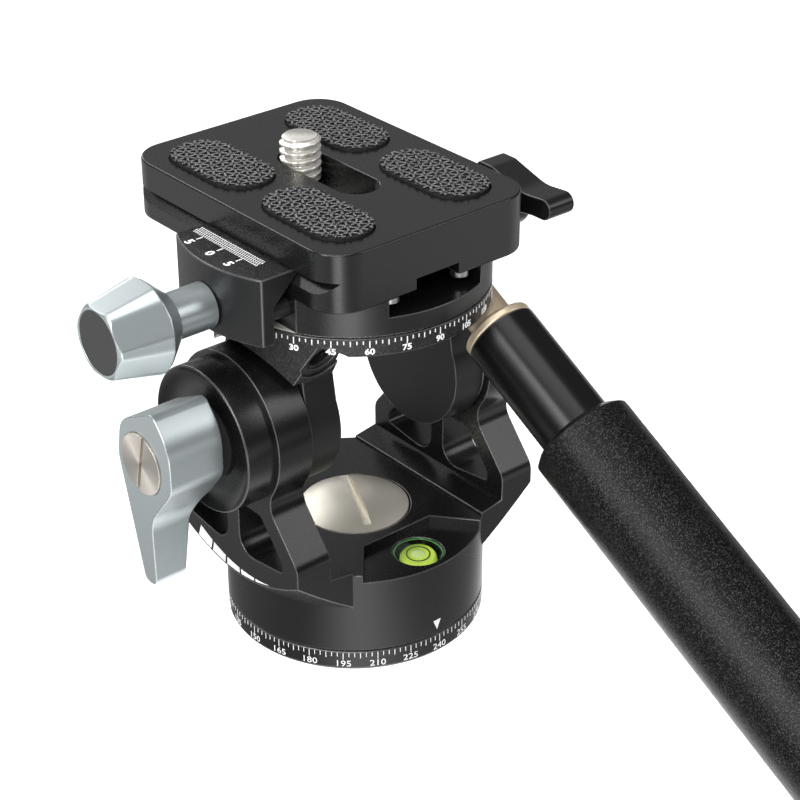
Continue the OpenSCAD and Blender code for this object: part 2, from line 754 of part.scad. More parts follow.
module tilt_lever() color(silver) difference() {
  translate([0, 0, tilt_z])
    intersection() {
      x_prism(lever_face(), -lever_out, -lever_in);
      y_prism([for (p = lever_flank()) [-p.x, p.y]], -far / 2, far / 2);
    }
  x_bar(bolt_r + seat_gap, -cap_in, -lever_in + cut, tilt_z);
  x_bar(cap_r + seat_gap, -lever_out - cut, -cap_in, tilt_z);
}

module lever_cap_screw() color(nickel) difference() {
  union() {
    x_bar(cap_r, -cap_in - cap_t, -cap_in, tilt_z);
    x_bar(cap_shank_r, -cap_in, -cap_in + cap_shank, tilt_z);
  }
  translate([-cap_in - cap_t - cut, 0, tilt_z])
    rotate([cap_slot_turn, 0, 0])
      translate([0, -cap_slot_w / 2, -far / 2])
        cube([cut + cap_t / 2, cap_slot_w, far]);
}

// Lug with its round end about the tilt axis, and the saddle that joins it to the ring, on +X
module lug() {
  saddle_foot = saddle_half - saddle_d * tan(handle_drop);
  intersection() {
    union() {
      x_bar(lug_r, lug_in, lug_out, tilt_z);
      // Neck, drawn in from the lug's round to the saddle's foot
      x_prism(
        rounded(
          [[-lug_r, tilt_z], [lug_r, tilt_z], [lug_r - bevel, tilt_z + lug_neck_rise],
           [saddle_foot, ring_z - saddle_d], [saddle_foot, ring_z], [-saddle_foot, ring_z],
           [-saddle_foot, ring_z - saddle_d], [bevel - lug_r, tilt_z + lug_neck_rise]],
          [0, 0, lug_neck_round, 0, 0, 0, 0, lug_neck_round]),
        lug_in, lug_out);
      difference() {
        x_prism(
          [[-saddle_foot, ring_z - saddle_d], [saddle_foot, ring_z - saddle_d], [saddle_half, ring_z],
           [-saddle_half, ring_z]],
          lug_in, ring_r + cut);
        x_bar(boss_r + saddle_gap, lug_out, ring_r + 2 * cut, tilt_z);
      }
    }
    cylinder(r = ring_r, h = ring_top);
  }
}

module tilt_cradle() color(dark) difference() {
  union() {
    translate([0, 0, ring_z]) cylinder(r = ring_r, h = ring_t);
    translate([0, 0, ring_z - hub_d]) cylinder(r = hub_r, h = hub_d);
    for (side = [0, 180]) rotate(side) lug();
  }
  // Thread of the clamp pivot, and the blind bores about the tilt axis
  translate([0, 0, pivot_end]) cylinder(r = pivot_thread_r + seat_gap, h = far);
  x_bar(bolt_bore, -lug_out - cut, -bore_end, tilt_z);
  x_bar(bolt_bore, bore_end, lug_out + cut, tilt_z);
  // Threads of the handle, used on the right and spare on the left, and the stubs' way past the ring
  for (side = [1, -1])
    at_seat(side) {
      cylinder(r = seat_r, h = far / 6);
      translate([0, 0, -stud_d]) cylinder(r = stud_r + seat_gap, h = stud_d + cut);
    }
}

module clamp_slip_washer() color(nylon)
  ring(pivot_shoulder_r + free_gap, ring_r - dial_chamfer, ring_top, disc_z);

// Shouldered screw that the clamp turns on, fixed in the cradle
module clamp_pivot() color(steel) difference() {
  rotate_extrude() polygon([
    [0, pivot_end + free_gap], [pivot_thread_r, pivot_end + free_gap],
    [pivot_thread_r, ring_top], [pivot_shoulder_r, ring_top], [pivot_shoulder_r, pivot_z + run_gap],
    [pivot_disc_r, pivot_z + run_gap], [pivot_disc_r, pivot_top], [0, pivot_top]
  ]);
  // Hexagon socket
  translate([0, 0, pivot_z + run_gap]) cylinder(r = pivot_thread_r, h = far, $fn = 6);
}

module clamp_body() color(black) difference() {
  union() {
    intersection() {
      union() {
        translate([0, 0, disc_z]) cylinder(r = ring_r, h = disc_t);
        for (side = [0, 180])
          rotate(side)
            translate([channel_half, -ring_r, disc_top - cut]) cube([ring_r, 2 * ring_r, rail_h + cut]);
      }
      cylinder(r = ring_r, h = far * 2);
      translate([-flat_x, -ring_r, 0]) cube([flat_x + ring_r, 2 * ring_r, far * 2]);
    }
    // Fixed jaw with its dovetail lip
    y_prism(
      [[flat_x, disc_z], [fixed_out, disc_z], [fixed_out, jaw_top], [lip_x, jaw_top],
       [jaw_sum - rail_z, rail_z], [flat_x, rail_z]],
      -jaw_half, jaw_half);
  }
  // Room for the pivot's head and shoulder
  translate([0, 0, pivot_z]) cylinder(r = pivot_disc_r + run_gap, h = far);
  translate([0, 0, disc_z - cut]) cylinder(r = pivot_shoulder_r + run_gap, h = far);
  // Guide pins, spindle thread, and the pan lock's thread
  for (side = [1, -1])
    translate([0, side * guide_y, 0]) x_bar(guide_r + run_gap, -flat_x - cut, -flat_x + guide_d, screw_z);
  x_bar(spindle_r + run_gap, -far, -channel_half + cut, screw_z);
  x_bar(spindle_r + run_gap, channel_half - cut, far, screw_z);
}

module guide_pins() color(steel)
  for (side = [1, -1])
    translate([0, side * guide_y, 0])
      x_bar(guide_r, -jaw_in - pin_hold, -flat_x + guide_d - free_gap, screw_z);

module moving_jaw() color(black) difference() {
  intersection() {
    translate([jaw_bulge_r - jaw_out, 0, 0]) cylinder(r = jaw_bulge_r, h = far * 2);
    y_prism(
      [[-jaw_out - cut, disc_z - jaw_drop], [-jaw_in, disc_z - jaw_drop], [-jaw_in, jaw_sum - jaw_in],
       [-lip_x, jaw_top], [-jaw_out - cut, jaw_top]],
      -jaw_half, jaw_half);
  }
  for (side = [1, -1])
    translate([0, side * guide_y, 0]) x_bar(guide_r + seat_gap, -jaw_in - pin_hold, 0, screw_z);
  x_bar(spindle_r + run_gap, -far, 0, screw_z);
  // Counterbore for the spindle's clip
  x_bar(clip_r + free_gap, -jaw_in, 0, screw_z);
}

module clamp_spindle() color(steel)
  x_bar(spindle_r, -knob_in - spindle_hold, -flat_x + spindle_d, screw_z);

module spindle_clip() color(steel)
  x_turn([
    [spindle_r + seat_gap, -jaw_in + run_gap], [clip_r, -jaw_in + run_gap],
    [clip_r, -jaw_in + run_gap + clip_t],
    [spindle_r + seat_gap, -jaw_in + run_gap + clip_t]
  ], screw_z);

// Distance of the knob's flats from its axis, at a distance x from the middle
function flat_at(x) = flat_wide + (x - knob_wide) * (flat_rim - flat_wide) / (knob_out - knob_wide);

module clamp_knob() color(silver) difference() {
  union() {
    x_bar(neck_r, -knob_in - cut, -neck_x, screw_z);
    x_turn([
      [0, -knob_out], [knob_rim_r - knob_bevel, -knob_out], [knob_rim_r, knob_bevel - knob_out],
      [knob_r, -knob_wide], [neck_r + neck_step, -knob_in], [0, -knob_in]
    ], screw_z);
  }
  for (turn = [0:60:300])
    translate([0, 0, screw_z])
      rotate([turn, 0, 0])
        y_prism(
          [[-knob_out - cut, flat_at(knob_out + cut)], [-knob_in, flat_at(knob_in)], [-knob_in, far],
           [-knob_out - cut, far]],
          -far / 4, far / 4);
  x_bar(spindle_r + seat_gap, -knob_in - spindle_hold, 0, screw_z);
  x_bar(disc_inset_r + seat_gap, -knob_out - cut, -knob_out + disc_inset_t, screw_z);
}

module knob_disc() color(black)
  x_bar(disc_inset_r, -knob_out, -knob_out + disc_inset_t, screw_z);

// Outline of the pan lock lever's blade, in Y and Z from its axis
function pan_blade() =
  let (tip_y = pan_tip_r - pan_reach, over = pan_tip_rise + pan_tip_r, under = pan_tip_rise - pan_tip_r)
  rounded(
    [[2 * bevel, pan_crest], [-pan_hub_r / 3, pan_crest], [-pan_dip_y, over - pan_dip],
     [tip_y - pan_tip_r, over], [tip_y - pan_tip_r, under], [tip_y + 2 * bevel, under],
     [-pan_hub_r, bevel], [bevel, -2 * bevel]],
    blade_rounds);

module pan_lock_lever() color(black) difference() {
  union() {
    x_bar(pan_neck_r, fixed_out + free_gap, pan_in + cut, screw_z);
    x_bar(pan_hub_r, pan_in, pan_out, screw_z);
    translate([0, 0, screw_z]) x_prism(pan_blade(), pan_in + pan_inset, pan_out - pan_inset);
  }
  x_bar(spindle_r + seat_gap, 0, pan_out - pan_wall, screw_z);
}

module pan_lock_stud() color(steel)
  x_bar(spindle_r, shoe_in + shoe_len, pan_out - pan_wall, screw_z);

module brake_shoe() color(brass)
  x_bar(spindle_r, shoe_in, shoe_in + shoe_len, screw_z);

// Moves to the plate's middle
module at_plate() {
  translate([0, plate_shift, 0]) children();
}

// Flat rectangle with round corners
module round_rect(w, l, r) {
  square([w - 2 * r, l], center = true);
  square([w, l - 2 * r], center = true);
  for (x = [-1, 1], y = [-1, 1])
    translate([x * (w / 2 - r), y * (l / 2 - r)]) circle(r = r);
}

module camera_plate() color(black) at_plate() difference() {
  intersection() {
    translate([0, 0, plate_z]) linear_extrude(plate_t) round_rect(plate_w, plate_l, corner_r);
    dovetail = [
      [half_w, plate_z], [half_w, flange_z - groove], [half_w - groove, flange_z], [half_w, flange_z],
      [half_w, plate_top]
    ];
    y_prism(
      concat(dovetail, [for (i = [len(dovetail) - 1:-1:0]) [-dovetail[i].x, dovetail[i].y]]),
      -plate_l / 2, plate_l / 2);
  }
  // Slot for the camera screw, the pocket for its head, and the channel underneath
  y_slot(slot_half, -slot_front, slot_back, plate_z - cut, plate_top + cut);
  head_half = camera_head_r + free_gap;
  y_slot(head_half, -slot_front - head_half + slot_half, slot_back + head_half - slot_half,
    plate_z - cut, plate_z + head_pocket);
  translate([-under_half, -plate_l / 2 - cut, plate_z - cut])
    cube([2 * under_half, plate_l + 2 * cut, under_d + cut]);
  for (x = [-1, 1], y = [-1, 1]) {
    translate([x * pad_x, y * pad_y, 0])
      y_slot(pad_w / 2, -pad_l / 2, pad_l / 2, plate_top - pad_d, plate_top + cut);
    translate([x * stop_x, y * (plate_l / 2 - stop_in), plate_z - cut])
      cylinder(r = stop_r + seat_gap, h = stop_d + cut);
  }
}

module rubber_pads() color(rubber) at_plate()
  for (x = [-1, 1], y = [-1, 1])
    translate([x * pad_x, y * pad_y, 0])
      y_slot(pad_w / 2 - run_gap, run_gap - pad_l / 2, pad_l / 2 - run_gap,
        plate_top - pad_d, plate_top + pad_proud);

module plate_stop_screws() color(steel) at_plate()
  for (x = [-1, 1], y = [-1, 1])
    translate([x * stop_x, y * (plate_l / 2 - stop_in), plate_z - stop_proud])
      cylinder(r = stop_r, h = stop_proud + stop_d);

module camera_screw() color(nickel) at_plate() translate([0, camera_y, 0]) difference() {
  union() {
    translate([0, 0, camera_head_z]) cylinder(r = camera_head_r, h = camera_head_t);
    translate([0, 0, camera_head_z]) cylinder(r = camera_neck_r, h = thread_z - camera_head_z);
    translate([0, 0, thread_z]) cylinder(r = camera_r, h = plate_top + camera_proud - thread_z);
  }
  // Hexagon socket from below
  translate([0, 0, camera_head_z - cut]) cylinder(r = socket_r, h = cut + camera_head_t, $fn = 6);
}

module captive_washer() color(nylon) at_plate() translate([0, camera_y, 0])
  ring(camera_neck_r + run_gap, camera_head_r, camera_head_z + camera_head_t + run_gap,
    camera_head_z + camera_head_t + run_gap + captive_t);

module handle_stub() color(champagne) at_seat(1)
  rotate_extrude() polygon([
    [0, free_gap - stud_d], [stud_r, free_gap - stud_d], [stud_r, 0], [stub_r, 0], [stub_r, stub_len - bevel],
    [stub_flange_r, stub_len], [stub_flange_r, tube_start], [tail_r - seat_gap, tube_start],
    [tail_r - seat_gap, tube_start + tail_len], [0, tube_start + tail_len]
  ]);

module handle_tube() color(black) at_seat(1)
  ring(tail_r, tube_r, tube_start, tube_end);

module handle_grip() color(rubber) at_seat(1)
  rotate_extrude() polygon(rounded(
    [[tube_r + seat_gap, grip_start], [grip_r, grip_start], [grip_r, tube_end],
     [tube_r + seat_gap, tube_end]],
    [0, grip_round, grip_round, 0]));

module handle_end_cap() color(black) at_seat(1)
  rotate_extrude() polygon([
    [0, tube_end - tail_len], [tail_r - seat_gap, tube_end - tail_len], [tail_r - seat_gap, tube_end],
    [grip_r - grip_round, tube_end], [grip_r - grip_round, tube_end + end_cap_t - bevel],
    [grip_r - grip_round - bevel, tube_end + end_cap_t], [0, tube_end + end_cap_t]
  ]);

base_dial();
thread_insert();
base_slip_washer();
pan_screw();
pan_spring_washer();
yoke();
level_vial();
friction_washers();
pivot_bolt();
lock_collar();
thrust_washer();
lock_bolt();
tilt_lever();
lever_cap_screw();
tilt_cradle();
clamp_slip_washer();
clamp_pivot();
clamp_body();
guide_pins();
moving_jaw();
clamp_spindle();
spindle_clip();
clamp_knob();
knob_disc();
pan_lock_lever();
pan_lock_stud();
brake_shoe();
camera_plate();
rubber_pads();
plate_stop_screws();
camera_screw();
captive_washer();
handle_stub();
handle_tube();
handle_grip();
handle_end_cap();
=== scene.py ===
import json
import math

import bmesh
import bpy
from mathutils import Matrix, Vector, noise

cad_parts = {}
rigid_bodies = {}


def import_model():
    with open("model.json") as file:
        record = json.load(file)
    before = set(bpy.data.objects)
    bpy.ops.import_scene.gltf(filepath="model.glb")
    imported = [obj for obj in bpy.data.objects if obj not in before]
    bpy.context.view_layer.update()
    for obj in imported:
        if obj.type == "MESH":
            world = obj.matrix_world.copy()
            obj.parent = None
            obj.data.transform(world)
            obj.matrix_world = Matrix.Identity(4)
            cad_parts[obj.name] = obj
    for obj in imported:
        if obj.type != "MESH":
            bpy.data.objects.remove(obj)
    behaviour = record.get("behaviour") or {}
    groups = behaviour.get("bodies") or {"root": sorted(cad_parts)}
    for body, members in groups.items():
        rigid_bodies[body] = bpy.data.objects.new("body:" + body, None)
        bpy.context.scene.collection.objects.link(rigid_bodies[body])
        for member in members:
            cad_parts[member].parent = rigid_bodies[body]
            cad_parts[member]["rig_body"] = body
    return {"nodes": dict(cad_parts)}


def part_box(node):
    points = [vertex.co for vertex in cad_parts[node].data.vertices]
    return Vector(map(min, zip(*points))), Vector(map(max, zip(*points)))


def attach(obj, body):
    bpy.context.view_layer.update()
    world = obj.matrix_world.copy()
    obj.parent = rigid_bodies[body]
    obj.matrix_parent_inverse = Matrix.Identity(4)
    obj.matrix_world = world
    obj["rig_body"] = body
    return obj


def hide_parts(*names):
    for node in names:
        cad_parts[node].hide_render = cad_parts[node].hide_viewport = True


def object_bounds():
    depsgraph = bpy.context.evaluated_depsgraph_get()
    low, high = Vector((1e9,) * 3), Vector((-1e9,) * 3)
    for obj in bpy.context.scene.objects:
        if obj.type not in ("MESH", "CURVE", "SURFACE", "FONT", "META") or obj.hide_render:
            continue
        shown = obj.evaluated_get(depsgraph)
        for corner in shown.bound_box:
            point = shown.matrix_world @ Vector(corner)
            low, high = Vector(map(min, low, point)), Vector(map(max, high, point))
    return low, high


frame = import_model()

mm = 0.001
cad_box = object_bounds()
scene = bpy.context.scene
scene.view_settings.view_transform = "Standard"

camera_turn = math.radians(40.2)
camera_rise = math.radians(29.6)
camera_distance = 325 * mm
camera_aside = 7.3 * mm
camera_lift = -2.85 * mm
aim = Vector((0, 0, 40 * mm))
to_right = Vector((math.cos(camera_turn), -math.sin(camera_turn), 0))
to_camera = Vector((
    -math.sin(camera_turn) * math.cos(camera_rise),
    -math.cos(camera_turn) * math.cos(camera_rise),
    math.sin(camera_rise),
))
to_top = to_camera.cross(to_right)
lens = bpy.data.cameras.new("camera")
lens.sensor_width = 36
lens.lens = 94.5
lens.clip_start = 10 * mm
camera = bpy.data.objects.new("camera", lens)
camera_place = aim + to_camera * camera_distance + to_right * camera_aside + to_top * camera_lift
camera_axes = Matrix((to_right, to_top, to_camera)).transposed().to_4x4()
camera.matrix_world = Matrix.Translation(camera_place) @ camera_axes
scene.collection.objects.link(camera)
scene.camera = camera

floor_drop = 60 * mm
floor_reach = 3.0
floor_shape = bmesh.new()
bmesh.ops.create_circle(floor_shape, cap_ends=True, radius=floor_reach, segments=96)
bmesh.ops.translate(floor_shape, verts=floor_shape.verts, vec=(0, 0, cad_box[0].z - floor_drop))
floor_mesh = bpy.data.meshes.new("floor")
floor_shape.to_mesh(floor_mesh)
floor_shape.free()
floor = bpy.data.objects.new("floor", floor_mesh)
scene.collection.objects.link(floor)


def fill(tree, node, inputs):
    """Sets inputs of a shader node to values, or joins them to sockets."""
    for key, value in inputs.items():
        if isinstance(value, bpy.types.NodeSocket):
            tree.links.new(value, node.inputs[key])
        else:
            node.inputs[key].default_value = value


def add(tree, kind, inputs=None, **settings):
    """A new shader node with its settings and inputs."""
    node = tree.nodes.new("ShaderNode" + kind)
    for key, value in settings.items():
        setattr(node, key, value)
    fill(tree, node, inputs or {})
    return node


def combine(tree, operation, *values):
    """The result of a sum with one or two values."""
    return add(tree, "Math", dict(enumerate(values)), operation=operation).outputs[0]


def combine_vectors(tree, operation, *vectors):
    """The results of a sum with vectors: a vector comes first, and a number is named Value."""
    return add(tree, "VectorMath", dict(enumerate(vectors)), operation=operation).outputs


def ramp(tree, value, start, end, low, high):
    """Runs from low to high while a value runs from start to end."""
    limits = {"Value": value, "From Min": start, "From Max": end, "To Min": low, "To Max": high}
    return add(tree, "MapRange", limits).outputs[0]


def mix_values(tree, share, first, second):
    """The first value where the share is 0, and the second where it is 1."""
    return add(tree, "Mix", {0: share, 2: first, 3: second}, data_type="FLOAT").outputs[0]


def mix_colours(tree, share, first, second):
    """The first colour where the share is 0, and the second where it is 1."""
    return add(tree, "Mix", {0: share, 6: (*first, 1), 7: (*second, 1)}, data_type="RGBA").outputs[2]


def new_material(name):
    """An empty material, with its nodes and its shader."""
    material = bpy.data.materials.new(name)
    material.use_nodes = True
    return material, material.node_tree, material.node_tree.nodes["Principled BSDF"]


def seen_directly(tree):
    """1 for rays from the camera and for rays through glass, which show the studio white."""
    path = add(tree, "LightPath").outputs
    return combine(tree, "MAXIMUM", path["Is Camera Ray"], path["Is Transmission Ray"])


# To the camera the floor is white with a soft shadow. In the part's sheen it is toned from left to right:
# half pale, dark, white in the middle, dark, and pale again. The bands' edges are metres from the middle
floor_paint, floor_tree, floor_shader = new_material("floor_paint")
floor_seen = seen_directly(floor_tree)
floor_tone = mix_colours(floor_tree, floor_seen, (0.12, 0.12, 0.12), (0.8, 0.8, 0.8))
floor_place = add(floor_tree, "TexCoord").outputs["Object"]
floor_far = combine_vectors(floor_tree, "LENGTH", floor_place)["Value"]
floor_white = ramp(floor_tree, floor_far, 0.35, 1.0, 0.72, 1.0)
floor_aside = combine_vectors(floor_tree, "DOT_PRODUCT", floor_place, to_right)["Value"]
floor_left = ramp(floor_tree, floor_aside, -0.12, -0.26, 0.08, 0.55)
floor_rise = ramp(floor_tree, floor_aside, -0.09, 0.0, 0.15, 1.7)
floor_fall = ramp(floor_tree, floor_aside, 0.03, 0.13, 1.0, 0.15)
floor_right = ramp(floor_tree, floor_aside, 0.18, 0.28, 0.0, 0.70)
floor_middle = combine(floor_tree, "MULTIPLY", floor_rise, floor_fall)
floor_sides = combine(floor_tree, "MAXIMUM", floor_left, floor_right)
floor_sheen = combine(floor_tree, "MAXIMUM", floor_middle, floor_sides)
floor_glossy = add(floor_tree, "LightPath").outputs["Is Glossy Ray"]
floor_mirrored = combine(floor_tree, "MULTIPLY", floor_sheen, floor_glossy)
floor_glow = mix_values(floor_tree, floor_seen, floor_mirrored, floor_white)
fill(floor_tree, floor_shader, {
    "Base Color": floor_tone, "Roughness": 0.9, "Specular IOR Level": 0.0,
    "Emission Color": (1, 1, 1, 1), "Emission Strength": floor_glow})
floor_mesh.materials.append(floor_paint)

# The room is white to the camera, and to the part dim and a little lighter overhead
studio = bpy.data.worlds.new("studio")
studio.use_nodes = True
studio_tree = studio.node_tree
studio_way = add(studio_tree, "SeparateXYZ", {0: add(studio_tree, "TexCoord").outputs["Generated"]})
studio_dim = ramp(studio_tree, studio_way.outputs["Z"], -0.1, 0.6, 0.02, 0.18)
studio_light = mix_values(studio_tree, seen_directly(studio_tree), studio_dim, 1.0)
fill(studio_tree, studio_tree.nodes["Background"], {"Color": (1, 1, 1, 1), "Strength": studio_light})
scene.world = studio

# Each soft box has its place from the aim, its width and height, and its power in watts
soft_boxes = {
    "top_box": (Vector((-0.05, 0.02, 0.60)), 0.45, 0.45, 1.5),
    "back_box": (Vector((0.39, 0.46, 0.34)), 0.55, 0.35, 0.16),
    "edge_box": (Vector((-0.14, 0.46, 0.44)), 0.45, 0.12, 1.0),
    "right_box": (Vector((0.36, -0.43, 0.33)), 0.20, 0.30, 0.55),
    "left_box": (Vector((-0.60, -0.12, 0.22)), 0.12, 0.60, 1.2),
    "low_box": (Vector((-0.20, -0.20, -0.10)), 0.12, 0.12, 0.12),
    "handle_box": (Vector((-0.39, -0.04, 0.26)), 0.08, 0.30, 0.45),
    "front_box": (Vector((-0.45, -0.40, 0.40)), 0.40, 0.40, 2.7),
    "dome_box": (Vector((0.11, 0.56, 0.18)), 0.16, 0.22, 0.4),
}
for name, (offset, wide, tall, power) in soft_boxes.items():
    lamp = bpy.data.lights.new(name, "AREA")
    lamp.shape = "RECTANGLE"
    lamp.size = wide
    lamp.size_y = tall
    lamp.energy = power
    box = bpy.data.objects.new(name, lamp)
    box.location = aim + offset
    box.rotation_euler = offset.to_track_quat("Z", "Y").to_euler()
    scene.collection.objects.link(box)

# Base dial: the ring that the tripod holds, turned from aluminium and anodised satin black. Its degree
# marks and numbers are printed in white.


def new_group(name, inputs, outputs):
    """An empty shader node group, with its input sockets and its output node."""
    group = bpy.data.node_groups.new(name, "ShaderNodeTree")
    for label, kind, value in inputs:
        socket = group.interface.new_socket(label, in_out="INPUT", socket_type="NodeSocket" + kind)
        socket.default_value = value
    for label in outputs:
        group.interface.new_socket(label, in_out="OUTPUT", socket_type="NodeSocketFloat")
    return group, group.nodes.new("NodeGroupInput").outputs, group.nodes.new("NodeGroupOutput")


# Fine grain of blasted and anodised metal: an even speckle of the given scale per metre
fine_grain, grain_in, grain_out = new_group("fine_grain", [("Scale", "Float", 4000.0)], ["Grain"])
grain_place = add(fine_grain, "TexCoord").outputs["Object"]
grain_noise = add(fine_grain, "TexNoise", {"Vector": grain_place, "Scale": grain_in["Scale"], "Detail": 3.0})
fill(fine_grain, grain_out, {"Grain": grain_noise.outputs[0]})


def grained_finish(name, colour, roughness, grain, relief, metallic=0.0, specular=0.5):
    """Metal, plastic or ink with a fine grain in its colour, gloss and surface."""
    material, tree, shader = new_material(name)
    speckle = add(tree, "Group", {"Scale": grain}, node_tree=fine_grain).outputs["Grain"]
    shade = ramp(tree, speckle, 0, 1, 0.88, 1.12)
    toned = combine_vectors(tree, "MULTIPLY", colour, shade)[0]
    gloss = ramp(tree, speckle, 0, 1, roughness * 0.85, roughness * 1.15)
    bump = add(tree, "Bump", {"Height": speckle, "Strength": relief, "Distance": 0.05 * mm})
    fill(tree, shader, {
        "Base Color": toned, "Roughness": gloss, "Normal": bump.outputs[0],
        "Metallic": metallic, "Specular IOR Level": specular})
    return material


def place_piece(name, shape, body, slot, *finishes):
    """A piece on its body, from a mesh that is built in the part's frame."""
    mesh = bpy.data.meshes.new(name)
    shape.to_mesh(mesh)
    shape.free()
    for finish in finishes:
        mesh.materials.append(finish)
    piece = bpy.data.objects.new(name, mesh)
    scene.collection.objects.link(piece)
    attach(piece, body)
    return piece


same_point = 0.003 * mm
same_plane = math.radians(0.5)
sharp_corner = math.radians(30)


def smooth_normals(shape, broken):
    """A normal for each face corner: main faces keep theirs, and broken edges blend from one to the next."""
    main = {}
    for vert in shape.verts:
        faces = [face for face in vert.link_faces if face not in broken]
        for face in faces:
            alike = [other for other in faces if other.normal.dot(face.normal) > math.cos(sharp_corner)]
            blend = sum((other.normal * other.calc_area() for other in alike), Vector())
            main[face, vert] = blend.normalized()
    normals = []
    for face in shape.faces:
        for vert in face.verts:
            if face not in broken:
                normals.append(main[face, vert])
                continue
            near = [main[other, vert] for other in vert.link_faces if other not in broken]
            near = near or [other.normal * other.calc_area() for other in vert.link_faces]
            normals.append(sum(near, Vector()).normalized())
    return normals


def machined(node, slot, finish, edge_finish, edge, steps=2, where=None):
    """A copy of a solid in its place, its sharp outer edges broken by a small round of their own finish."""
    cad = frame["nodes"][node]
    shape = bmesh.new()
    shape.from_mesh(cad.data)
    for layer in list(shape.loops.layers.float_vector.values()):
        shape.loops.layers.float_vector.remove(layer)
    bmesh.ops.remove_doubles(shape, verts=shape.verts, dist=same_point)
    bmesh.ops.dissolve_limit(shape, angle_limit=same_plane, verts=shape.verts, edges=shape.edges)
    sharp = [e for e in shape.edges if e.is_convex and e.calc_face_angle() > sharp_corner]
    sharp = [e for e in sharp if not where or all(where(vert.co) for vert in e.verts)]
    made = bmesh.ops.bevel(
        shape, geom=sharp, offset=edge, offset_type="OFFSET", segments=steps, profile=0.5, affect="EDGES",
        clamp_overlap=False, loop_slide=False, material=-1)
    shape.normal_update()
    for face in shape.faces:
        face.smooth = True
        face.material_index = 0
    for face in made["faces"]:
        face.material_index = 1
    normals = smooth_normals(shape, set(made["faces"]))
    piece = place_piece(node + "_piece", shape, cad["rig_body"], slot, finish, edge_finish)
    piece.data.normals_split_custom_set(normals)
    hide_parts(node)


anodised_black = grained_finish(
    "anodised_black", (0.006, 0.006, 0.0065), roughness=0.27, grain=5200, relief=0.02, specular=0.60)
# The broken edges' own finish is paler and shinier than the faces: a painted highlight along every broken
# edge
edge_highlight_black = grained_finish(
    "edge_highlight_black", (0.11, 0.11, 0.113), roughness=0.26, grain=5200, relief=0.02, metallic=0.45)
machined("base_dial", "black_anodised", anodised_black, edge_highlight_black, edge=0.25 * mm)

# The ink gives a little light of its own, so that the marks stay white in the part's shadow
ink_rise = 0.02 * mm
ink_sink = 0.06 * mm
white_ink = grained_finish("white_ink", (0.93, 0.93, 0.92), roughness=0.55, grain=9000, relief=0.05)
ink_shader = white_ink.node_tree.nodes["Principled BSDF"]
ink_shader.inputs["Emission Color"].default_value = (1, 1, 1, 1)
ink_shader.inputs["Emission Strength"].default_value = 0.42


def bar_mark(x, y, wide, tall):
    """A small upright bar, its top middle at x, y."""
    half = wide / 2
    return [(x - half, y - tall), (x + half, y - tall), (x + half, y), (x - half, y)], [(0, 1, 2, 3)]


number_widen = 1.15


def number_mark(x, y, words, tall, bold):
    """A number of the given height, its middle at x, y."""
    curve = bpy.data.curves.new("number", "FONT")
    curve.body = words
    curve.align_x = "CENTER"
    curve.offset = bold
    curve.resolution_u = 3
    text = bpy.data.objects.new("number", curve)
    mesh = bpy.data.meshes.new_from_object(text)
    low = min(v.co.y for v in mesh.vertices)
    high = max(v.co.y for v in mesh.vertices)
    scale = tall / (high - low)
    middle = (low + high) / 2
    points = [(x + v.co.x * scale * number_widen, y + (v.co.y - middle) * scale) for v in mesh.vertices]
    faces = [tuple(p.vertices) for p in mesh.polygons]
    bpy.data.objects.remove(text)
    bpy.data.curves.remove(curve)
    bpy.data.meshes.remove(mesh)
    return points, faces


def print_marks(name, marks, place, body, slot, ink=white_ink):
    """A thin layer of ink on a surface: place turns a mark's x, y and height into a point."""
    shape = bmesh.new()
    for points, faces in marks:
        tops = [shape.verts.new(place(x, y, ink_rise)) for x, y in points]
        lows = [shape.verts.new(place(x, y, -ink_sink)) for x, y in points]
        sides = {(f[i - 1], f[i]) for f in faces for i in range(len(f))}
        for face in faces:
            shape.faces.new([tops[i] for i in face])
            shape.faces.new([lows[i] for i in reversed(face)])
        for a, b in sides:
            if (b, a) not in sides:
                shape.faces.new([tops[b], tops[a], lows[a], lows[b]])
    bmesh.ops.recalc_face_normals(shape, faces=shape.faces)
    place_piece(name, shape, body, slot, ink)


def polar(radius, angle):
    """The point at a radius and an angle about an axis."""
    return radius * math.cos(angle), radius * math.sin(angle)


def on_drum(radius, turn):
    """Places marks on an upright drum: x runs round it from an angle, and y is the height."""
    def place(x, y, rise):
        return Vector((*polar(radius + rise, turn + x / radius), y))
    return place


dial_step = 2.5


def dial_marks(radius, top, lengths, wide, number_y, number_tall, bold):
    """Marks every 2.5 degrees, longer at each third, and longest at each sixth, which has a number too."""
    marks = []
    for step in range(round(360 / dial_step)):
        kind = 2 if step % 6 == 0 else 1 if step % 3 == 0 else 0
        degrees = dial_step * step
        x = radius * math.radians(degrees)
        marks.append(bar_mark(x, top, wide, lengths[kind]))
        if kind == 2:
            marks.append(number_mark(x, number_y, str(round(degrees)), number_tall, bold))
    return marks


dial_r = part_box("base_dial")[1].x
dial_turn = math.radians(30.6)
yoke_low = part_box("yoke")[0]
base_marks = dial_marks(
    dial_r, top=yoke_low.z - 0.45 * mm, lengths=(0.75 * mm, 1.0 * mm, 1.28 * mm), wide=0.11 * mm,
    number_y=1.40 * mm, number_tall=1.08 * mm, bold=0.0)
print_marks("base_dial_marks", base_marks, on_drum(dial_r, dial_turn), "base", "black_anodised")

# Thread insert: a steel bush, turned and pressed into the middle of the base. The tripod's 3/8 inch thread
# is cut in it, with sixteen turns to the inch.


def round_ring(shape, radius, z, columns, place):
    """A ring of points about an axis, put in place by place."""
    angles = [math.tau * i / columns for i in range(columns)]
    return [shape.verts.new(place(*polar(radius, a), z)) for a in angles]


